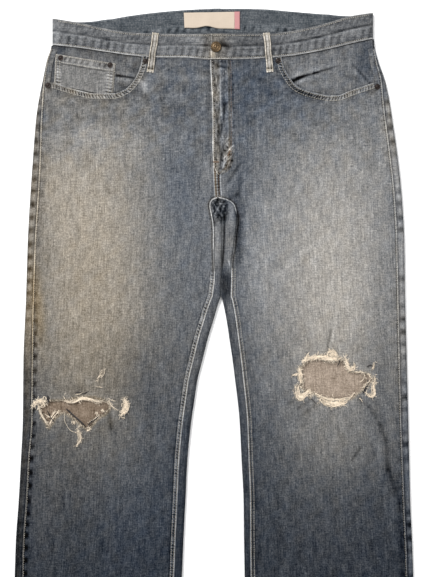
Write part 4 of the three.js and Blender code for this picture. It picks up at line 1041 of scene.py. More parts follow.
# Worn and dark places round the button, as streaks
BAND_STREAKS = [
    (13, 58, 25, 63, 3.4, -52), (-14, 60, -9, 66, 3.0, -30), (14, 50, 30, 54, 2.2, 16),
                (-40, 50, -20, 52, 3, 14),
    (10, 70, 16, 72, 2.0, -22), (30, 60, 44, 58, 3.0, -12), (-8, 44, -7, 56, 1.4, 26), (24, 71, 76, 73, 4, 16),
    (-60, 73, -12, 75, 4, 8), (-150, 66, -110, 72, 5, 12), (120, 70, 160, 66, 4, 8),
]


def band_surface(x, down):
    """Height, brightness and warmth of the front of the waistband."""
    top, bottom = waist("front_top", x), waist("front_bottom", x)
    relief, shade, warm = band_relief(down - top, bottom - top, x, 61)
    base = 100 + 6 * ripple(x, down, 34, 66) + 5 * ripple(x * 0.6, down * 1.6, 12, 65)
    base = base + 10 * bell(x, -38, 26) - 12 * bell(x, 60, 40) + strokes(BAND_STREAKS, x, down)
    base = base + 18 * bell(x, -262, 22) - 14 * bell(down - top, 12, 5) * bell(x, 22, 16)
    pale = bell(x, -2.5, 5, 4) * bell(down, 74, 6, 4)
    shade = base + shade + 40 * pale + 60 * bell(x, FLY_EDGE + 1, 0.9) * (x > FLY_EDGE - 0.1)
    return band_top(x) + relief, shade, -4 + 0.6 * warm + 16 * pale + 12 * bell(x, 2, 20)


def waistband_front(side):
    """One half of the front of the waistband: over the side fold and across to the fly."""
    end = FLY_EDGE if side == "left" else -(FLY_EDGE - SEAM_GAP)
    fold, flat, rows = 6, 190, 29
    j, i = np.arange(fold + flat + 1)[None, :], np.arange(rows)[:, None]
    q = mix(1.02, 2.3, np.minimum(j, fold) / fold)
    inset = folded_edge(q, TOP, FOLD_OVER)[0]
    x = SIDES[side] * mix(SIDE_FOLD[side] - inset, end, np.clip(j - fold, 0, None) / flat) + 0 * i
    top, bottom = waist("front_top", x), waist("front_bottom", x)
    down = top + (bottom - top) * i / (rows - 1)
    z, shade, warm = band_surface(x, down)
    round_top = folded_edge(q, band_top(x), FOLD_OVER)[1]
    z = np.where(j <= fold, round_top + (z - band_top(x)) * smooth((j - 1) / 5), z)
    cloth(f"waistband_{side}_cloth", stack(x, down, z), shade, warm, np.stack([-down, x], -1) * MM, "denim",
          [f"waistband_{side}"], thick=2.2, inside=(100, 0))


def waistband_back():
    """The back of the waistband: flat on the floor and turned up at both side folds. Its inner face, which
    shows above the front, has a row of puckers along its foot."""
    curl, flat, rows = 8, 240, 25
    j, i = np.arange(curl + flat + curl + 1)[None, :], np.arange(rows)[:, None]
    share = np.clip((j - curl) / flat, 0, 1)
    x0, x1 = WAIST["x"][0], WAIST["x"][-1]
    level_x = mix(x0 + FOLD_UNDER, x1 - FOLD_UNDER, share)
    late = j > curl + flat / 2
    from_end = np.where(late, curl + flat + curl - j, j)
    inset, height_z = folded_edge(0.98 * (1 - np.clip(from_end / curl, 0, 1)), TOP, FOLD_OVER)
    x = np.where(from_end < curl, np.where(late, x1 - inset, x0 + inset), level_x) + 0 * i
    top, bottom = waist("back_top", level_x), waist("back_bottom", level_x)
    across = (bottom - top) * i / (rows - 1)
    down = top + across
    z = np.where(from_end < curl, height_z, 1.0 * under_pieces(x, down))
    _, extra, warm = band_relief(across, bottom - top, x, 67)
    slant = beat(x + 0.4 * across, 12.5, 68)
    rope = bell(across, 31, 4.5)
    inner = 88 + 26 * bell(across, 0.8, 1.2) - 10 * bell(across, 3.4, 1.2) + (20 - 60 * slant) * rope
    inner = inner + 12 * bell(across, 26, 1.5) + 4 * ripple(x, down, 24, 69) - 22 * bell(x, -149, 1.2)
    cloth("waistband_back_cloth", stack(x, down, z), 98 + extra, warm - 8, np.stack([-down, x], -1) * MM,
          "denim",
          ["waistband_back"], thick=1.7, inside=(inner, -9), up=False)


# Smaller pieces of the front

def facing_top(x, down):
    """The cloth inside a pocket lies a little under the front."""
    return front_top(x, down) - FACING_DROP


FACING_CREASES = {
    # x and down of both ends of each crease, how dark its painted shadow is, how wide, and how far the cloth
    # above it stands up
    "right": [((-157, 107), (-120, 112.5), 84, 1.8, 0.9), ((-122, 84), (-132, 108), 16, 2.0, 0.2)],
    "left": [((119, 119), (150, 106), 104, 3.0, 1.2), ((132, 111.6), (176, 99.6), 80, 1.7, 1.0),
             ((160, 103.6), (206, 90), 54, 1.3, 0.5), ((250, 120), (218, 85), 46, 1.3, 0.4),
             ((205, 108), (236, 112), 12, 3, 0.3)],
}


def facing(side):
    """A pocket facing: it follows the front panel a little lower, inside the scoop and under its edge, with
    painted shadow under that edge, under the waistband and along its creases.
    """
    x, down, q, folded, o = front_grid(side, np.arange(WAIST_SIDE + SEAM_GAP, 170, 1.9), 100, FACING_DROP)
    top = facing_top(x, down)
    z = np.where(folded, folded_edge(q, top + FACING_DROP, o["over"], FACING_DROP)[1], top)
    line = scoop_line(side)
    gap = nearest(x, LENGTH / 2 - down, line)[1]
    is_in = inside(x, LENGTH / 2 - down, line)
    reach = np.where(is_in, -gap, gap)
    keep = ((reach[:-1, :-1] + reach[1:, 1:]) / 2) < 9
    shade = (97 if side == "right" else 108) + 6 * ripple(x, down * 1.4, 30, 101) + 5 * ripple(x, down, 12, 102)
    # Painted shadow under the scoop's edge and under the waistband
    shade = shade - 26 * bell(np.maximum(-reach, 0), 0, 3) * is_in
    shade -= 16 * bell(down - waist("front_bottom", x), 0, 5)
    warm = np.full(x.shape, -2.0 if side == "right" else -4.0)
    for (ax, ad), (bx, bd), dark, wide, rise in FACING_CREASES[side]:
        length = np.hypot(bx - ax, bd - ad)
        ux, ud = (bx - ax) / length, (bd - ad) / length
        along = ((x - ax) * ux + (down - ad) * ud) / length
        aside = (x - ax) * ud - (down - ad) * ux
        fade = smooth((along + 0.08) / 0.12) * smooth((1.02 - along) / 0.45)
        # Painted shadow along each crease, and painted light on the cloth either side of it
        shade -= dark * bell(aside, 0, wide * (1.2 - 0.6 * np.clip(along, 0, 1))) * fade
        shade += 0.22 * dark * bell(np.abs(aside), 5, 4) * fade
        z = z + rise * smooth((aside * np.sign(ux) + 1) / 1.6) * bell(aside, 0, 14) * fade
    corner = bell(x, 244, 18) * bell(down, 86, 34, 4) if side == "left" else 0.7 * bell(x, -248, 14)
    shade -= 30 * corner
    warm = warm - 8 * corner + 2 * ripple(x, down, 20, 103)
    cloth(f"pocket_facing_{side}_cloth", stack(x, down, z), shade, warm, grain_uv(x, down), "denim_faded",
          [f"pocket_facing_{side}"], keep=keep, thick=0.6, inside=(120, 10))


def quad_grid(corners, rows, columns):
    """A four-cornered piece, from its top left, top right, bottom right and bottom left corners."""
    a, b, c, d = (np.asarray(p, float) for p in corners)
    u, v = np.linspace(0, 1, columns)[None, :, None], np.linspace(0, 1, rows)[:, None, None]
    flat = mix(mix(a, b, u), mix(d, c, u), v)
    return flat[..., 0], flat[..., 1], u[..., 0] + 0 * v[..., 0], v[..., 0] + 0 * u[..., 0]


COIN = [(-254, 72.5), (-157, 88), (-161.5, 141), (-256.5, 122)]


def coin_pocket():
    """The small pocket on the right facing: a stitched hem at its top, puckers beside both side seams, and
    rounded edges."""
    x, down, u, v = quad_grid(COIN, 44, 80)
    wide, high = 97 * u, 53 * v
    edge = np.minimum(np.minimum(wide, 97 - wide), high)
    puckers = beat(high, 5.2, 111) * (bell(wide, 7, 4, 4) + bell(97 - wide, 8, 5, 4)) * smooth((high - 12) / 3)
    hem = beat(wide + 0.5 * high, 9, 113) * bell(high, 6.5, 4, 4)
    z = facing_top(x, down) + FACING_DROP * (1 - bell(edge, 0, 1.4)) + 0.5 * bell(high, 6, 5, 4) - 0.5 * puckers
    shade = 120 + 6 * ripple(x, down, 22, 115) + 5 * ripple(x, down * 1.6, 9, 116)
    shade += 46 * (bell(wide, 7, 4.5, 4) + bell(97 - wide, 8, 5.5, 4)) * smooth((high - 13) / 3) - 130 * puckers
    shade += (16 - 64 * hem) * bell(high, 6.5, 4.5, 4) + 58 * bell(edge, 0.8, 0.9) - 34 * bell(edge, 2.8, 0.9)
    shade += 60 * bell(high, 13, 0.8) - 44 * bell(high, 15.2, 1.0) - 50 * bell(97 - wide, 0.2, 0.9)
    cloth("coin_pocket_cloth", stack(x, down, z), shade, 2 + 8 * bell(edge, 0.8, 1.4), grain_uv(x, down),
          "denim_faded", ["coin_pocket"], thick=0.9, inside=(110, 10))


FLY_DOWN = [82.8, 110, 150, 190, 225, 244, 254, 261, 266]
FLY_LEFT = [-6.4, -5.2, -3.2, -2.6, -2.6, -1.6, 0, 2.6, 6]
FLY_STITCH = [29.5, 30, 30.5, 31, 31, 29, 25, 19, 12]


def fly():
    """The fly: its bright folded edge on the right, a soft pale ridge and a hollow with painted shade along its
    middle, two rows of stitching that curve in at its foot, and a bunch of crossing puckers there."""
    rows, columns = 190, 44
    down = np.linspace(FLY_DOWN[0], FLY_DOWN[-1], rows)[:, None]
    first, last = curve(FLY_DOWN, FLY_LEFT, down), curve(FLY_DOWN, FLY_STITCH, down) + 2.5
    u = np.linspace(0, 1, columns)[None, :]
    x = mix(first, last, u)
    down = down + 0 * x
    base, shade, warm = front_surface("left", x, down)
    v, w = x - first, last - x
    body = (1 - bell(v, 0, 0.9)) * smooth(w / 9)
    low = smooth((down - 196) / 34)
    ridge = bell(x, curve([90, 150, 185, 210], [9, 10.6, 14.4, 19.5], down), 1.8) * bell(down, 142, 58, 4)
    hollow = bell(x, curve([130, 165, 190, 225], [15, 16.6, 13, 7], down), 2.4) * bell(down, 178, 44, 4)
    bunch = beat(x * 0.9 + down * 0.7, 7, 121, 0.6) * bell(x, 25, 8, 4) * bell(down, 228, 22, 4)
    cross = beat(down * 0.8 - x, 9, 123, 0.5) * bell(x, 20, 8, 4) * bell(down, 242, 18, 4)
    z = base + 0.1 + 1.5 * body + 0.5 * ridge - 0.7 * hollow - 0.35 * bunch - 0.35 * cross
    dash = 0.55 + 0.45 * beat(down, 7.5, 125, 0.9)
    shade = shade + 104 * bell(v, 0.9, 0.9) - 36 * bell(v, 3.2, 1.2) + 14 * bell(v, 7, 3, 4) * (1 - low)
    shade += 12 * ripple(x, down * 0.8, 7, 126) * bell(x, 3, 7, 4) + strokes(FLY_STREAKS, x, down)
    # Painted shade in the hollow along the fly's middle; the ridge is paler
    shade += (42 * ridge - 46 * hollow - (22 * bell(w, 2.4, 1.0) + 12 * bell(w, 8.4, 1.0)) * dash
              * (1 - 0.5 * low))
    shade += 10 * bell(w, 5.4, 1.6) + 8 * bell(w, 11, 2) * (1 - low)
    shade += 14 * bell(x, 24, 10, 4) * bell(down, 232, 26, 4) - 34 * bunch - 34 * cross
    shade += 12 * ripple(x * 1.4, down * 0.5, 5, 128) + 9 * ripple(x, down * 0.3, 6, 129)
    warm = (warm + 8 * bell(v, 1.3, 1.6) + 10 * bell(x, 4, 6, 4) + 14 * bell(x, 23, 9) * low
            + 12 * bell(w, 8.4, 2))
    cloth("fly_cloth", stack(x, down, z), shade, warm, grain_uv(x, down), "denim", ["fly_placket"])


# Dark needle holes, painted shade in the creases below the waistband, and worn places and fold marks on the fly
FLY_STREAKS = [
    (1.6, 112, 1.6, 115, 1.5, -56), (1.6, 122, 1.6, 125, 1.5, -60), (1.8, 133, 1.8, 135, 1.3, -30),
    (0.9, 147, 0.9, 150, 1.1, -46), (0.9, 155, 0.9, 157, 1.1, -46), (1.0, 163, 1.0, 165, 1.1, -46),
    (1.0, 171, 1.0, 173, 1.1, -40), (4.9, 149, 4.9, 152, 1.1, -40), (4.9, 157, 4.9, 160, 1.1, -44),
    (5.0, 166, 5.0, 169, 1.1, -40), (-2, 87, 8, 93, 2.4, -44), (8, 93, 24, 96, 1.8, -34),
    (12, 86, 30, 88, 1.6, -26), (4, 99, 14, 96, 1.6, 20), (10, 104, 10, 140, 1.6, 12),
    (6, 176, 6, 236, 2.0, -26), (0, 180, 1, 226, 2.0, 18), (20, 110, 20, 150, 2.6, 14),
    (16, 216, 13, 236, 1.6, -36), (6, 216, 12, 238, 3.0, -16), (10, 208, 5, 240, 1.2, 34),
    (21, 230, 31.5, 219, 0.7, 70), (16, 240, 29.5, 225, 0.7, 60), (19, 214, 26, 228, 0.8, 50),
    (17.6, 247, 28, 236, 0.7, 56), (12.8, 257, 23, 235, 0.7, 50), (22.4, 251, 32, 229, 0.7, 44),
    (13, 207, 17, 221, 3.6, 24), (26, 226, 31, 234, 0.7, 50), (14, 262, 17, 236, 0.7, 44),
    (10, 252, 13, 226, 0.9, -34), (23, 233, 25, 234, 1.3, -80), (26, 243, 28, 244, 1.3, -76),
    (18, 251, 20, 251, 1.3, -70), (24, 254, 26, 254, 1.3, -60), (30, 231, 31, 233, 1.3, -76),
    (16, 227, 18, 228, 1.4, -66), (12, 243, 14, 244, 1.4, -60), (21, 222, 23, 223, 1.2, -60),
    (27, 217, 29, 218, 1.2, -56), (9, 256, 16, 258, 1.4, -36),
]

LOOPS = {
    # x and down of the top and the bottom of each front loop
    "loop_front_right": ((-93, 39.5), (-102.5, 103)),
    "loop_front_left": ((84, 39.5), (89.5, 102.5)),
}


def belt_loop(node):
    """A belt loop: a folded strip that arches off the waistband between its two sewn ends. Its folded edges are
    worn pale, and two dark rows of stitching run between them."""
    (ax, ad), (bx, bd) = LOOPS[node]
    rows, columns = 60, 15
    t, v = np.linspace(0, 1, rows)[:, None], np.linspace(-1, 1, columns)[None, :]
    length = np.hypot(bx - ax, bd - ad)
    ux, ud = (bx - ax) / length, (bd - ad) / length
    half = 5.4 + 0.4 * bell(t, 0.93, 0.06) - 0.3 * bell(t, 0.5, 0.2)
    x = mix(ax, bx, t) + ud * v * half + 0.3 * ripple(t * 60, 0 * t, 30, 131)
    down = mix(ad, bd, t) - ux * v * half
    arch = curve([0, .08, .2, .35, .5, .65, .8, .92, 1], [0, .2, .8, 1, 1, 1, .7, .1, 0], t)
    base = mix(BAND_TOP + 0.2, TOP + 0.2, smooth((t - 0.62) / 0.12))
    edge = 1 - np.abs(v)
    z = base + 2 * arch + 1.5 * (1 - bell(edge, 0, 0.12)) - 0.35 * bell(np.abs(v), 0.45, 0.12)
    z = z + 0.2 * ripple(t * 60, v * 5, 12, 133)
    end = smooth((t - 0.93) / 0.02)
    shade = 144 + 66 * bell(edge, 0.18, 0.15) - 74 * bell(np.abs(v), 0.52, 0.11) + 12 * bell(v, 0, 0.3, 4)
    shade = shade + 12 * ripple(t * 60, v * 5, 16, 135) + 9 * ripple(t * 60, v * 5, 5, 136)
    shade += 44 * end - 50 * bell(t, 0.9, 0.02)
    if node.endswith("left"):
        shade = shade + 14
    warm = 11 + 12 * bell(edge, 0.16, 0.2) + 0 * t
    uv = np.stack(np.broadcast_arrays(v * half, -t * length), -1) * MM
    cloth(f"{node}_cloth", stack(x, down, z), shade, warm, uv, "denim_faded", [node], thick=1.0,
          inside=(100, 0))


def label():
    """The bare woven label inside the back of the waist: a tape with turned ends, its foot lifted in the
    middle, and a muted red end of its own cloth."""
    x, down, u, v = quad_grid([(-48.5, 6.0), (33, 4.6), (33, 32.0), (-47.5, 30.5)], 26, 70)
    rise = bell(x, -11, 13) * v
    down = down - 3.2 * rise * v + 0.4 * ripple(x, down, 40, 141) * v
    edge = np.minimum(np.minimum(u * 81, (1 - v) * 27), v * 27)
    z = 3.2 + 0.6 * (1 - bell(edge, 0, 0.7)) + 1.3 * rise + 0.15 * ripple(x, down, 22, 143)
    cloth("label_cloth", stack(x, down, z), 200 + 0 * x, 20 + 0 * x, grain_uv(x, down), "label_cloth",
          ["label"],
          material=LABEL_CLOTH, thick=0.5)
    x, down, u, v = quad_grid([(32.4, 4.4), (41.5, 4.2), (41.5, 33.0), (32.4, 32.4)], 26, 12)
    edge = np.minimum(np.minimum(u, 1 - u) * 9, np.minimum(v, 1 - v) * 27)
    z = 3.3 + 0.7 * (1 - bell(edge, 0, 0.7)) + 0.1 * ripple(x, down, 16, 145)
    cloth("label_end", stack(x, down, z), 160 + 0 * x, 20 + 0 * x, grain_uv(x, down), "label_cloth", [],
          material=LABEL_END, thick=0.4)


# Metal pieces: profiles turned about an axis

def turned(name, node, place, profile, slot, material, sides):
    """A turned piece at a place of x, down and z: its profile of radius and height, turned round."""
    radius, height = np.array(profile, float).T
    angle = np.arange(sides) * 2 * np.pi / sides
    ring = np.stack(np.broadcast_arrays(radius[:, None] * np.cos(angle), radius[:, None] * np.sin(angle),
                                        height[:, None]), -1).reshape(-1, 3)
    i, j = np.meshgrid(np.arange(len(radius) - 1), np.arange(sides), indexing="ij")
    after = (j + 1) % sides
    faces = np.stack([i * sides + after, (i + 1) * sides + after, (i + 1) * sides + j, i * sides + j], -1)
    piece = solid_mesh(name, ring + stack(*place), faces.reshape(-1, 4))
    dress(piece, material, slot, node)


BUTTON = [(0.02, -0.2), (7.6, -0.2), (8.3, 0.2), (8.6, 0.9), (8.5, 1.7), (8.0, 2.3), (7.2, 2.6), (6.5, 2.45),
          (6.2, 1.9), (5.9, 1.75), (5.2, 1.9), (4.8, 2.2), (4.3, 2.3), (3.2, 2.35), (2.9, 2.2), (2.7, 1.9),
          (2.2, 1.8),
          (1.6, 2.2), (0.8, 2.6), (0.02, 2.7)]
RIVET = [(0.02, -0.2), (4.1, -0.2), (4.5, 0.1), (4.4, 0.5), (3.7, 0.8), (3.2, 0.75), (2.9, 0.6), (2.3, 0.7),
         (1.9, 1.2), (1.3, 1.5), (0.6, 1.58), (0.02, 1.6)]
RIVETS = {"rivet_right_outer": (-265.5, 123.5), "rivet_right_inner": (-109.5, 84.8),
          "rivet_left_outer": (261.5, 125.5), "rivet_left_inner": (102.8, 84.5),
          "rivet_coin_outer": (-245, 79.5), "rivet_coin_inner": (-166, 91)}


def beads(name, place, radius, count, size):
    """A ring of raised dots of brass: half balls of a few faces round the middle of the button."""
    turn = np.arange(count) * 2 * np.pi / count
    spots = stack(*place) + np.stack([radius * np.cos(turn), radius * np.sin(turn), 0 * turn], -1)
    a = np.arange(8) * np.pi / 4
    rings = [np.stack([size * r * np.cos(a), size * r * np.sin(a), 0 * a + size * h], -1)
             for r, h in ((1, 0), (0.85, 0.45), (0.45, 0.8), (0.02, 0.9))]
    i, j = np.meshgrid(np.arange(3), np.arange(8), indexing="ij")
    one = np.stack([i * 8 + j, i * 8 + (j + 1) % 8, (i + 1) * 8 + (j + 1) % 8, (i + 1) * 8 + j],
                   -1).reshape(-1, 4)
    vertices = (spots[:, None] + np.concatenate(rings)[None]).reshape(-1, 3)
    faces = (one[None] + 32 * np.arange(count)[:, None, None]).reshape(-1, 4)
    dress(solid_mesh(name, vertices, faces), BRASS, "button_metal")


def metal_pieces():
    """The button with its two rings of dots, and the heads of the rivets."""
    x, down = 3.2, 62.4
    z = float(band_top(np.array(x))) + 0.15
    turned("button_shank", "button", (x, down, z), BUTTON, "button_metal", BRASS, 64)
    beads("button_dots", (x, down, z + 2.4), 7.35, 34, 0.42)
    beads("button_inner_dots", (x, down, z + 2.25), 3.75, 14, 0.4)
    for node, (x, down) in RIVETS.items():
        z = float(front_top(np.array([x]), np.array([down]))[0]) + (0.1 if "coin" in node else 0.5)
        turned(f"{node}_head", node, (x, down, z), RIVET, "rivet_metal", COPPER, 40)


# Threads: stitches and frayed yarn

def stitch_shapes(start, end, wide, thick):
    """A stitch from each start to each end: a round-ended bar of ten corners and twelve faces."""
    axis = end - start
    axis /= np.maximum(np.linalg.norm(axis, axis=-1), 1e-9)[:, None]
    aside = np.stack([-axis[:, 1], axis[:, 0], 0 * axis[:, 0]], -1)
    up = np.array([0, 0, 1.0])
    corners = [start]
    for t in (0.22, 0.78):
        place = start + (end - start) * t
        corners += [place + aside * wide / 2, place + up * thick / 2, place - aside * wide / 2,
                    place - up * thick / 2]
    corners.append(end)
    vertices = np.stack(corners, 1)
    tris = [[0, 1, 2], [0, 2, 3], [0, 3, 4], [0, 4, 1], [9, 6, 5], [9, 7, 6], [9, 8, 7], [9, 5, 8]]
    quads = [[1, 5, 6, 2], [2, 6, 7, 3], [3, 7, 8, 4], [4, 8, 5, 1]]
    count = len(start)
    offset = 10 * np.arange(count)[:, None, None]
    faces = []
    for part in (tris, quads):
        faces += (np.array(part)[None] + offset).reshape(-1, len(part[0])).tolist()
    return vertices.reshape(-1, 3), faces


class Sewing:
    """Collects rows of stitches of one thread and makes them one piece."""

    def __init__(self, name, material, slot):
        self.name, self.material, self.slot = name, material, slot
        self.starts, self.ends = [], []

    def row(self, path, height, lift, seed, pitch=3.4, cover=0.72, aside=0):
        """Stitches along a path, at a distance to its left. height gives the surface from x and down, and cover
        is the part of the pitch that a stitch takes up."""
        s, at, left = trail(path, 0.6)
        at = at + left * aside
        rng = np.random.default_rng(seed)
        middle = np.arange(pitch / 2, s[-1], pitch)
        middle = middle + rng.normal(0, 0.08 * pitch, len(middle))
        for ends, t in ((self.starts, -0.5), (self.ends, 0.5)):
            where = np.clip(middle + t * pitch * cover, 0, s[-1])
            x = np.interp(where, s, at[:, 0]) + rng.normal(0, 0.07, len(where))
            down = np.interp(where, s, at[:, 1]) + rng.normal(0, 0.07, len(where))
            ends.append(np.stack([x, LENGTH / 2 - down, height(x, down) + lift], -1))

    def bar(self, middle, along, wide, turn, height, lift, count, seed):
        """A bar tack: short stitches laid side by side across its length."""
        t = np.linspace(-0.5, 0.5, count)
        c, s = np.cos(np.radians(turn)), np.sin(np.radians(turn))
        x, down = middle[0] + along * t * c, middle[1] - along * t * s
        rng = np.random.default_rng(seed)
        for ends, sign in ((self.starts, -1), (self.ends, 1)):
            half = sign * wide / 2 * (1 + rng.normal(0, 0.08, count))
            ex, ed = x - s * half + sign * 0.2 * c, down - c * half
            ends.append(np.stack([ex, LENGTH / 2 - ed, height(ex, ed) + lift], -1))

    def make(self, wide, thick):
        vertices, faces = stitch_shapes(np.concatenate(self.starts), np.concatenate(self.ends), wide, thick)
        dress(solid_mesh(self.name, vertices, faces), self.material, self.slot)


def on_front(side):
    """The height of a front panel, from x and down."""
    return lambda x, down: front_surface(side, x, down)[0]


def on_band(x, down):
    return band_surface(x, down)[0]


def level_at(z):
    """One height everywhere, from x and down."""
    return lambda x, down: 0 * x + z


def sew_front():
    """The rows of stitches and the bar tacks that show from the front."""
    pale = Sewing("pale_stitches", THREAD, "denim")
    brown = Sewing("brown_stitches", BROWN_THREAD, "denim")
    for side, sign in SIDES.items():
        for aside in (2.2, 7.8):
            pale.row(scoop_path(side), on_front(side), 0.75, 201, aside=-sign * aside)
        path = seam_path(side, "outseam", np.arange(66, LENGTH - 6, 8.0))
        pale.row(path, on_front(side), 0.35, 203, 3.6, 0.7, -sign * 2.2)
        path = seam_path(side, "inseam", np.arange(428 if side == "right" else 416, LENGTH - 6, 8.0))
        for aside in (2.4, 6.8):
            pale.row(path, on_front(side), 0.4, 205, 3.6, 0.7, sign * aside)
        first, last = (-250, FLY_EDGE - 3) if side == "right" else (FLY_EDGE + 3, 247)
        edge = np.linspace(first, last, 24)
        for line, inwards in (("front_top", 3.2), ("front_bottom", -3.0)):
            pale.row(np.stack([edge, waist(line, edge) + inwards], -1), on_band, 0.15, 207)
    down = np.linspace(84, 262, 20)
    path = np.stack([curve(FLY_DOWN, FLY_STITCH, down), down], -1)
    for aside in (2.7, 7.0):
        brown.row(path, on_front("left"), 1.3, 209, 3.6, 0.7, -aside)
    path = np.stack([curve(FLY_DOWN, FLY_LEFT, down) + 3.4, down], -1)
    pale.row(path, on_front("left"), 1.5, 211, 3.6, 0.7)
    down = np.linspace(248, 302, 8)
    for aside in (3.0, 7.8):
        brown.row(np.stack([centre(down) - RISE_START + aside, down], -1), on_front("right"), 0.6, 213, 3.2,
                  0.75)
    coin = lambda x, down: facing_top(x, down) + 1.5
    a, b, c, d = np.array(COIN)
    for t in (2.6 / 50, 12.4 / 50):
        pale.row(np.stack([mix(a, d, t), mix(b, c, t)]), coin, 0.4, 215, 3.2)
    for t in (0.028, 0.085, 0.915, 0.972):
        pale.row(np.stack([mix(a, b, t), mix(d, c, t)]), coin, 0.45, 217, 3.2)
    tack = Sewing("bar_tacks", TACK_THREAD, "denim")
    for (ax, ad), (bx, bd) in LOOPS.values():
        tack.bar((bx + (0.2 if bx > 0 else 0.5), bd - 3.2), 9.4, 3.0, 0, level_at(TOP), 1.9, 16, 221)
        tack.bar((ax, ad + 2.4), 9.0, 2.4, 0, level_at(BAND_TOP), 2.0, 14, 223)
    brown.bar((3.2, 246), 9, 2.4, 0, on_front("left"), 1.7, 14, 225)
    brown.bar((24, 232), 9, 2.4, 62, on_front("left"), 1.9, 14, 227)
    tack.make(0.7, 0.7)
    pale.make(0.85, 0.7)
    brown.make(0.65, 0.6)


def yarn_mesh(name, paths, radius, tones, material, *nodes):
    """Threads as four-sided tubes that narrow to both ends. paths is threads by stations by three."""
    count, stations = paths.shape[:2]
    ahead = np.gradient(paths, axis=1)
    ahead /= np.maximum(np.linalg.norm(ahead, axis=-1, keepdims=True), 1e-9)
    aside = np.stack([-ahead[..., 1], ahead[..., 0], 0 * ahead[..., 0]], -1)
    aside /= np.maximum(np.linalg.norm(aside, axis=-1, keepdims=True), 1e-6)
    over = np.cross(ahead, aside)
    t = np.linspace(0, 1, stations)
    taper = np.clip(np.minimum(t, 1 - t) * 9 + 0.12, 0, 1)
    r = radius[:, None, None] * taper[None, :, None]
    ring = np.stack([paths + aside * r, paths + over * r, paths - aside * r, paths - over * r], 2)
    i, k, c = np.meshgrid(np.arange(count), np.arange(stations - 1), np.arange(4), indexing="ij")
    at = lambda k, c: (i * stations + k) * 4 + c % 4
    faces = np.stack([at(k, c), at(k, c + 1), at(k + 1, c + 1), at(k + 1, c)], -1).reshape(-1, 4)[:, ::-1]
    piece = solid_mesh(name, ring.reshape(-1, 3), faces)
    tone = piece.data.attributes.new("tone", "FLOAT", "POINT")
    tone.data.foreach_set("value", np.repeat(tones, stations * 4).astype(np.float32))
    dress(piece, material, "frayed_yarn", *nodes)


def beside(path, t):
    """x, down and the direction to the left, at shares t of the length of a path."""
    s, at, left = trail(path, 0.5)
    return [np.interp(t * s[-1], s, column) for column in (*at.T, *left.T)]


def spread_at(spread, t):
    """A spread: one number, or a row of numbers spaced evenly along the path."""
    return spread if np.isscalar(spread) else np.interp(t, np.linspace(0, 1, len(spread)), spread)


def bundle(path, spread, count, cover, curl, seed, low, high):
    """Loose threads that follow a path: each takes a part of it, keeps a distance from it, and wanders by a
    random walk whose steps are smoothed."""
    rng = np.random.default_rng(seed)
    share = rng.uniform(cover * 0.5, cover, count)
    first = rng.uniform(0, 1, count) * (1 - share)
    t = first[:, None] + share[:, None] * np.linspace(0, 1, STATIONS)
    x, down, nx, nd = beside(path, t)
    walk = np.cumsum(rng.normal(0, 1, (count, STATIONS, 3)), 1)
    walk = (walk + np.roll(walk, 1, 1) + np.roll(walk, -1, 1)) / 3
    walk -= walk.mean(1, keepdims=True)
    off = rng.normal(0, 0.5, count)[:, None] * spread_at(spread, t)
    x = x + nx * off + curl * walk[..., 0]
    down = down + nd * off + curl * walk[..., 1]
    z = TOP + rng.uniform(low, high, count)[:, None] + 0.25 * walk[..., 2] * min(curl, 1)
    return stack(x, down, np.clip(z, TOP - 0.6, FRAY_TOP))


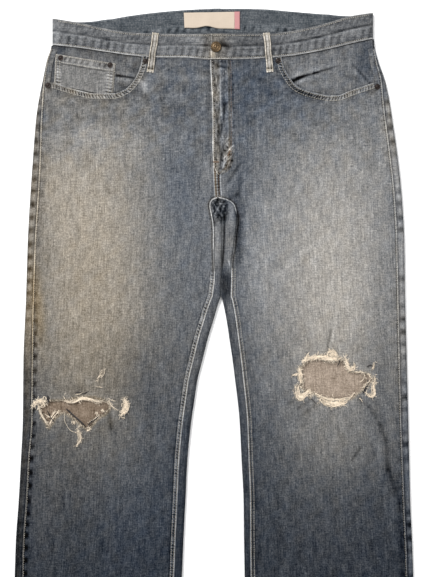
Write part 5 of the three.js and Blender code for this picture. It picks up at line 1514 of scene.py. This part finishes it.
# Bundles of frayed threads: path as x and down, spread, how many, how much of the path each follows, curl
FRAY_RIGHT = [
    ([(-289.6, 638.4), (-284.8, 630.4), (-275.2, 627.2), (-272, 633.6), (-278.4, 640)], 2.8, 44, 0.6, 0.9),
    ([(-274.4, 624.5), (-271, 621), (-267.4, 624.5), (-271, 628), (-274, 625)], 0.4, 6, 0.9, 0.1),
    ([(-203.6, 673), (-200.8, 669.6), (-198, 673), (-201, 675.6), (-203.6, 673)], 0.5, 7, 0.9, 0.1),
    ([(-281, 632), (-277.6, 646.4), (-270.4, 659.2), (-263.2, 670)], 1.6, 13, 0.9, 0.35),
    ([(-263.2, 670), (-257.6, 656), (-249.6, 646.4), (-243.2, 640.8)], 1.3, 9, 0.9, 0.35),
    ([(-272, 649.6), (-262.4, 654), (-256, 646.4), (-252.8, 640)], 1.2, 5, 0.9, 0.3),
    ([(-241.6, 621.6), (-235.2, 628.8), (-224, 628.8), (-211.2, 624), (-198.4, 625.6), (-185.6, 629.6),
      (-176, 627.2),
      (-171.2, 623)], 2.2, 40, 0.5, 0.4),
    ([(-170.4, 625.6), (-166.4, 632), (-161.6, 638.4), (-155.2, 643.2)], 1.4, 8, 0.9, 0.3),
    ([(-169.6, 622.4), (-163.2, 627.2), (-155.2, 628)], 0.8, 3, 0.95, 0.2),
    ([(-144.8, 624), (-140, 632), (-141.6, 640), (-146.4, 646.4), (-148.8, 652.8)],
     [1.4, 4.4, 4.6, 3.6, 2], 84, 0.5, 0.9),
    ([(-150, 652), (-146, 654.5), (-141, 655)], 0.6, 3, 0.9, 0.2),
    ([(-189, 646), (-187.2, 648), (-186, 651)], 1.2, 8, 0.9, 0.5),
    ([(-180, 641.5), (-177.6, 643.2), (-176, 646)], 1.2, 8, 0.9, 0.5),
    ([(-243.2, 640), (-238.4, 646.4), (-239.2, 656), (-235.2, 667.2), (-228.8, 675.2), (-222.4, 677.6),
      (-216, 675.2)],
     0.6, 2, 1.0, 0.1),
    ([(-217.6, 670.4), (-216, 680), (-214.4, 688), (-217.6, 696), (-222.4, 703.2)],
     [1.2, 2.4, 2.8, 1.6, 0.6], 20, 0.75, 0.4),
    ([(-226, 659), (-224, 663), (-221, 665)], 1.8, 7, 0.8, 0.7),
    ([(-200, 664), (-190.4, 656), (-180.8, 649.6)], 0.8, 4, 0.9, 0.2),
    ([(-176, 574), (-177.6, 584), (-182.4, 588.8), (-188, 596)], [0.8, 2.6, 2.2, 0.8], 16, 0.7, 0.3),
    ([(-190, 605), (-182.4, 606), (-177, 606.5)], 0.5, 3, 0.9, 0.2),
    ([(-226, 616), (-216, 617), (-208, 614), (-202, 615)], 0.6, 3, 0.9, 0.3),
]
FRAY_LEFT = [
    ([(142.4, 566.4), (152, 560), (164.8, 557.6), (177.6, 560), (188.8, 562.4), (200, 561.6), (206.4, 556.8)],
     2.4, 44, 0.5, 0.6),
    ([(154, 561), (170, 557), (186, 560), (204, 559)], 2.2, 70, 0.3, 0.6),
    ([(142.4, 566.4), (147, 559), (150.4, 553.6)], 2.0, 20, 0.7, 0.5),
    ([(180.8, 560), (182.4, 552), (187.2, 548), (193.6, 549.6), (196, 555.2), (192, 560), (185.6, 558.4)],
     1.8, 44, 0.5, 0.5),
    ([(184, 556), (190, 553), (195, 557)], 2.4, 22, 0.7, 0.6),
    ([(208, 556.8), (211.2, 564.8), (213.6, 572.8), (219.2, 577.6), (224, 572.8), (225.6, 568)],
     [1.6, 2.6, 3, 3.2, 2.6, 1.2], 48, 0.6, 0.6),
    ([(220, 582), (230, 581.6), (241, 582.4)], 1.2, 4, 0.9, 0.3),
    ([(241.6, 584), (240, 592), (235.2, 596.8), (230.4, 598.4)], 0.6, 3, 1.0, 0.15),
    ([(246, 583), (249, 588), (250, 592)], 0.8, 3, 1.0, 0.3),
    ([(256, 585.6), (257.6, 595.2), (254.4, 604.8), (256, 614.4), (251.2, 620.8), (243.2, 616), (240, 612.8)],
     [1.6, 2.6, 3.2, 3.2, 2.4, 1.6, 0.8], 52, 0.45, 0.9),
    ([(252.8, 580.8), (254.4, 572.8), (257.6, 564.8)], [1.8, 1.2, 0.4], 8, 0.9, 0.25),
    ([(168, 625), (179.2, 630.5), (192, 632.8), (204.8, 632), (214.5, 627)], [1.5, 4.6, 5.6, 4.8, 1.8], 96,
     0.5, 0.5),
    ([(157, 613), (168, 620), (182, 624.5), (198, 626.5), (213, 624), (225, 616)], 1.5, 22, 0.5, 0.5),
    ([(160, 616), (170, 622), (176, 625)], 1.6, 10, 0.8, 0.5),
    ([(214, 625), (221, 619), (228, 612)], 0.8, 6, 0.8, 0.4),
    ([(132.8, 601.6), (134.4, 612.8), (137.6, 622.4), (145.6, 617.6), (152, 612.8), (155.2, 624)],
     [3, 5, 5, 4.5, 3.6, 2], 76, 0.5, 0.7),
    ([(136, 572.8), (137.6, 582.4), (137.6, 592), (140.8, 601.6)], [2, 3, 3, 3], 40, 0.6, 0.7),
    ([(137.6, 584), (131.2, 585.6), (124.8, 588.8)], [2, 1.4, 0.5], 8, 0.9, 0.3),
    ([(232, 622.4), (238.4, 630.4)], 0.6, 3, 0.9, 0.2),
    ([(236, 608), (243, 601), (250, 594)], 1.4, 10, 0.7, 0.6),
]


# Rolled edges and the painted shadow under them and at other dark spots of the rips, as near-black yarn:
# path, spread, how many threads
ROLLED = {
    "right": [([(-240, 637), (-230.4, 646), (-220.8, 654.5), (-211, 664), (-203, 671)], 1.1, 14),
              ([(-203, 672), (-196.8, 662.4), (-188.8, 656.5), (-181, 652.5)], 0.7, 6),
              ([(-224, 617.5), (-217, 614.5), (-209, 616.5), (-200, 611)], 0.6, 5),
              ([(-140.5, 626), (-137.5, 635), (-140, 645)], 0.7, 6),
              ([(-267, 619), (-264, 626), (-267, 634)], 1.2, 9),
              ([(-268, 640), (-262, 652), (-255, 662)], 0.6, 4)],
    "left": [([(236, 617), (241, 611), (245.5, 601), (247, 592)], 1.4, 12),
             ([(196, 574), (201, 566), (204, 560)], 0.6, 4), ([(150, 622), (158, 627), (163, 634)], 0.6, 4),
             ([(243.2, 574), (250, 571), (256, 576)], 0.8, 5),
             ([(170, 562.5), (180, 564.5), (192, 564)], 0.5, 4)],
}


def fuzz(path, spread, count, longest, seed):
    """Short loose ends scattered along a path: each bends a little and points any way."""
    rng = np.random.default_rng(seed)
    t = rng.uniform(0, 1, count)
    x, down, nx, nd = beside(path, t)
    off = rng.normal(0, 0.5, count) * (spread_at(spread, t) + 0.6)
    u = np.linspace(-0.5, 0.5, 8)
    heading = rng.uniform(0, 2 * np.pi, count)[:, None] + rng.normal(0, 1.3, count)[:, None] * u
    step = rng.uniform(1.6, longest, count)[:, None] / 7
    z = TOP + rng.uniform(0.5, 2.6, count)[:, None] + 0.8 * rng.normal(0, 1, count)[:, None] * u
    x = (x + off * nx)[:, None] + np.cumsum(np.cos(heading) * step, 1)
    down = (down + off * nd)[:, None] + np.cumsum(np.sin(heading) * step, 1)
    return stack(x, down, np.clip(z, TOP, FRAY_TOP))


def tones_of(paths, rng):
    """How bright each thread is: painted light on the ones on top and painted shade on the lower ones; a few
    still have a trace of dye.
    """
    tone = 0.5 + 0.36 * (paths[..., 2].mean(1) - TOP) + rng.normal(0, 0.2, len(paths))
    return np.clip(tone - 0.4 * (rng.uniform(0, 1, len(paths)) < 0.15), 0.3, 1.3)


def broken_ends(side, rng):
    """Short broken ends of the warp all round a rip: most point into it, and each bends a little along the
    edge."""
    line = ragged(rip_line(side), 0.3, 0.9, 335)
    ahead = np.roll(line, -1, 0) - line
    ahead /= np.maximum(np.linalg.norm(ahead, axis=1), 1e-6)[:, None]
    out_of = np.stack([-ahead[:, 1], ahead[:, 0]], -1)
    length = rng.uniform(1.2, 4.5 if side == "left" else 3.2, len(line))
    t = np.linspace(-0.35, 1, 7)[None, :, None]
    lean = rng.normal(0, 0.5, len(line))[:, None]
    direction = (out_of + lean * ahead) * np.where(rng.uniform(0, 1, len(line)) < 0.35, 1, -1)[:, None]
    bend = rng.normal(0, 0.9, len(line))[:, None, None] * ahead[:, None, :] * t**2
    flat = line[:, None, :] + direction[:, None, :] * length[:, None, None] * t + bend
    z = TOP + 0.3 + rng.uniform(-0.6, 1.0, len(line))[:, None] + 0 * t[..., 0]
    return np.concatenate([flat, z[..., None]], -1)


def frayed_edges(side, table):
    """The frayed rim of a rip: long threads, short loose ends, broken ends, and edges rolled over, drawn in
    near-black yarn that is partly their dye and partly painted shadow under them."""
    rng = np.random.default_rng(333)

    def lay(name, paths, thinnest, thickest, *nodes, gain=1.0):
        radius = rng.uniform(thinnest, thickest, len(paths))
        yarn_mesh(f"{name}_{side}", paths, radius, gain * tones_of(paths, rng), YARN, *nodes)

    long = [bundle(*row, 300 + k, 0.4, 2.0) for k, row in enumerate(table)]
    lay("frayed_threads", np.concatenate(long), 0.18, 0.36, f"fray_{side}")
    loose = [fuzz(path, spread, int(count * 1.3), 6.5 if count > 12 else 3.5, 350 + k)
             for k, (path, spread, count, _, _) in enumerate(table)]
    lay("loose_ends", np.concatenate(loose), 0.16, 0.3, gain=1.08)
    lay("broken_ends", broken_ends(side, rng), 0.2, 0.34)
    # Rolled edges in near-black yarn: partly their dye, partly painted shadow under them
    rolled = np.concatenate([bundle(*row, 0.95, 0.12, 380 + k, 0.2, 1.4) for k, row in enumerate(ROLLED[side])])
    radius = rng.uniform(0.3, 0.5, len(rolled))
    yarn_mesh(f"rolled_edges_{side}", rolled, radius, rng.uniform(0.5, 1.4, len(rolled)), DYE_AND_SHADOW_YARN)


# The back

def back_pocket(side):
    """A back pocket: five-sided, with a stitched hem and sides, lying under the back panel with its face
    down."""
    u, v = np.linspace(-1, 1, 64)[None, :], np.linspace(0, 1, 66)[:, None]
    point = 1 - np.abs(u)
    high = mix(POCKET_SIDE, POCKET_POINT, point)
    half = POCKET_HALF - POCKET_TAPER * v
    x = SIDES[side] * (POCKET_MIDDLE + half * u)
    down = POCKET_TOP + high * v
    wide = point * half
    edge = np.minimum(np.minimum(wide, high * v), high * (1 - v))
    hem = beat(x + 0.5 * down, 10, 401) * bell(high * v, 8, 6, 4)
    rope = beat(down, 9, 403) * bell(wide, 5, 4, 4)
    z = 0.02 + 0.75 * bell(edge, 0, 1.2) + 0.3 * rope
    shade = 118 + 5 * ripple(x, down, 24, 405) + 40 * bell(edge, 0.9, 1.1) - 20 * bell(edge, 3, 1.0)
    shade = shade + (10 - 40 * hem) * bell(high * v, 8, 6.5, 4) + 34 * bell(high * v, 16, 0.9) - 36 * rope
    cloth(f"back_pocket_{side}_cloth", stack(x, down, z), shade, -6 + 0 * x, grain_uv(x, down), "denim",
          [f"back_pocket_{side}"], up=False, thick=0.9, inside=(100, 0))


BACK_LOOPS = {"loop_back_right": (-176, 19), "loop_back_centre": (4, 1.5), "loop_back_left": (180, 12.5)}


def back_loop(node):
    """A belt loop on the back, lying on the floor with its face down."""
    x0, top = BACK_LOOPS[node]
    t, v = np.linspace(0, 1, 40)[:, None], np.linspace(-1, 1, 11)[None, :]
    x, down = x0 + 5.4 * v + 0 * t, top + 60 * t + 0 * v
    edge = 1 - np.abs(v)
    z = 0.02 + 0.7 * bell(edge, 0, 0.2) + 0.25 * bell(np.abs(v), 0.45, 0.15) + 0 * t
    shade = 120 + 56 * bell(edge, 0.16, 0.16) - 36 * bell(np.abs(v), 0.45, 0.14) + 10 * ripple(x, down, 14, 407)
    cloth(f"{node}_cloth", stack(x, down, z), shade, 6 + 0 * x, grain_uv(x, down), "denim", [node],
          up=False, thick=0.8, inside=(100, 0))


def sew_back():
    """The rows of stitches on the back: pockets, yoke, centre seam and waistband."""
    thread = Sewing("back_stitches", THREAD, "denim_back")
    flat = level_at(BACK_FACE)
    ends, foot = np.array([0, 1]), POCKET_TOP + POCKET_SIDE
    for side, sign in SIDES.items():
        for inset in (3.0, 7.0):
            for a in (-1, 1):
                x = sign * (POCKET_MIDDLE + (POCKET_HALF - POCKET_TAPER * ends - inset) * a)
                thread.row(np.stack([x, POCKET_TOP + POCKET_SIDE * ends], -1), flat, 0, 411)
                x = [sign * (POCKET_MIDDLE + (POCKET_HALF - POCKET_TAPER - inset) * a), sign * POCKET_MIDDLE]
                down = [foot - inset, foot + POCKET_POINT - POCKET_SIDE - inset]
                thread.row(np.stack([x, down], -1), flat, 0, 413)
        for below, seed in ((2.6, 415), (16, 417)):
            x = sign * np.array([POCKET_MIDDLE - 76, POCKET_MIDDLE + 76])
            thread.row(np.stack([x, 0 * x + POCKET_TOP + below], -1), flat, 0, seed)
        share = np.linspace(0.02, 0.98, 24)
        for below in (3.5, 7.5):
            down = back_level(side, YOKE_LEVEL + below, share)
            x = mix(centre(down), sign * (outline(side, down)["outer"] - 5), share)
            thread.row(np.stack([x, down], -1), flat, 0, 419)
    down = np.linspace(46, 296, 12)
    for aside in (-7.5, -3.5):
        thread.row(np.stack([centre(down) + aside, down], -1), flat, 0, 421)
    edge = np.linspace(-250, 247, 40)
    for line, inwards in (("back_top", 3.2), ("back_bottom", -3.0)):
        thread.row(np.stack([edge, waist(line, edge) + inwards], -1), flat, 0, 423)
    thread.make(0.8, 0.5)


# Camera, light and floor

PHOTO_HIGH, SCALE = 577, 1.6
VIEW_CENTRE = (4.0, 110.2)
VIEW_DISTANCE, CLOTH_LEVEL = 1700.0, 7.0
FLOOR_HALF, FLOOR_DROP = 4000.0, 0.4


def camera():
    """Looks straight down, so that one pixel of the photograph's frame is SCALE millimetres at the cloth."""
    data = bpy.data.cameras.new("camera")
    data.sensor_fit = "VERTICAL"
    data.sensor_height = 24.0
    data.lens = data.sensor_height * VIEW_DISTANCE / (PHOTO_HIGH * SCALE)
    eye = bpy.data.objects.new("camera", data)
    eye.location = (VIEW_CENTRE[0] * MM, VIEW_CENTRE[1] * MM, (VIEW_DISTANCE + CLOTH_LEVEL) * MM)
    bpy.context.collection.objects.link(eye)
    bpy.context.scene.camera = eye


def light(name, place, target, size, power):
    """A round lamp at a place in metres, turned to a target."""
    data = bpy.data.lights.new(name, "AREA")
    data.shape, data.size, data.energy = "DISK", size, power
    lamp = bpy.data.objects.new(name, data)
    lamp.location = place
    lamp.rotation_euler = (Vector(target) - Vector(place)).to_track_quat("-Z", "Y").to_euler()
    bpy.context.collection.objects.link(lamp)


def studio():
    """Soft even light with a window to the upper left, over a pale floor."""
    world = bpy.data.worlds.new("soft room")
    world.use_nodes = True
    world.node_tree.nodes["Background"].inputs["Color"].default_value = (1, 1, 1, 1)
    world.node_tree.nodes["Background"].inputs["Strength"].default_value = 0.66
    bpy.context.scene.world = world
    light("window", (-1.7, 2.2, 2.6), (0, 0.1, 0), 1.4, 160)
    light("fill", (1.9, -1.4, 2.4), (0, 0, 0), 2.2, 34)
    bpy.context.scene.view_settings.view_transform = "Standard"
    corners = [(-1, -1), (1, -1), (1, 1), (-1, 1)]
    corners = [(a * FLOOR_HALF, b * FLOOR_HALF, -FLOOR_DROP) for a, b in corners]
    floor = solid_mesh("floor", corners, [[0, 1, 2, 3]], False)
    m = Nodes("pale floor", Roughness=0.9, Specular_IOR_Level=0.0)
    soft = m.noise(m.place("object", (3, 3, 3)), 2.0)
    m.link("Base Color", m.blend(m.math("ADD", soft, 0.5, clamp=True), [0.94] * 3, [0.97] * 3))
    floor.data.materials.append(m.material)


camera()
studio()
for side in SIDES:
    back_panels(side)
waistband_back()
for side in SIDES:
    front_panel(side)
    waistband_front(side)
    facing(side)
    scoop_hem(side)
    side_seam(side)
    inner_seam(side)
    leg_hem(side)
    back_pocket(side)
rise_seam()
coin_pocket()
fly()
for node in LOOPS:
    belt_loop(node)
for node in BACK_LOOPS:
    back_loop(node)
label()
metal_pieces()
sew_front()
sew_back()
for side, table in (("right", FRAY_RIGHT), ("left", FRAY_LEFT)):
    frayed_edges(side, table)
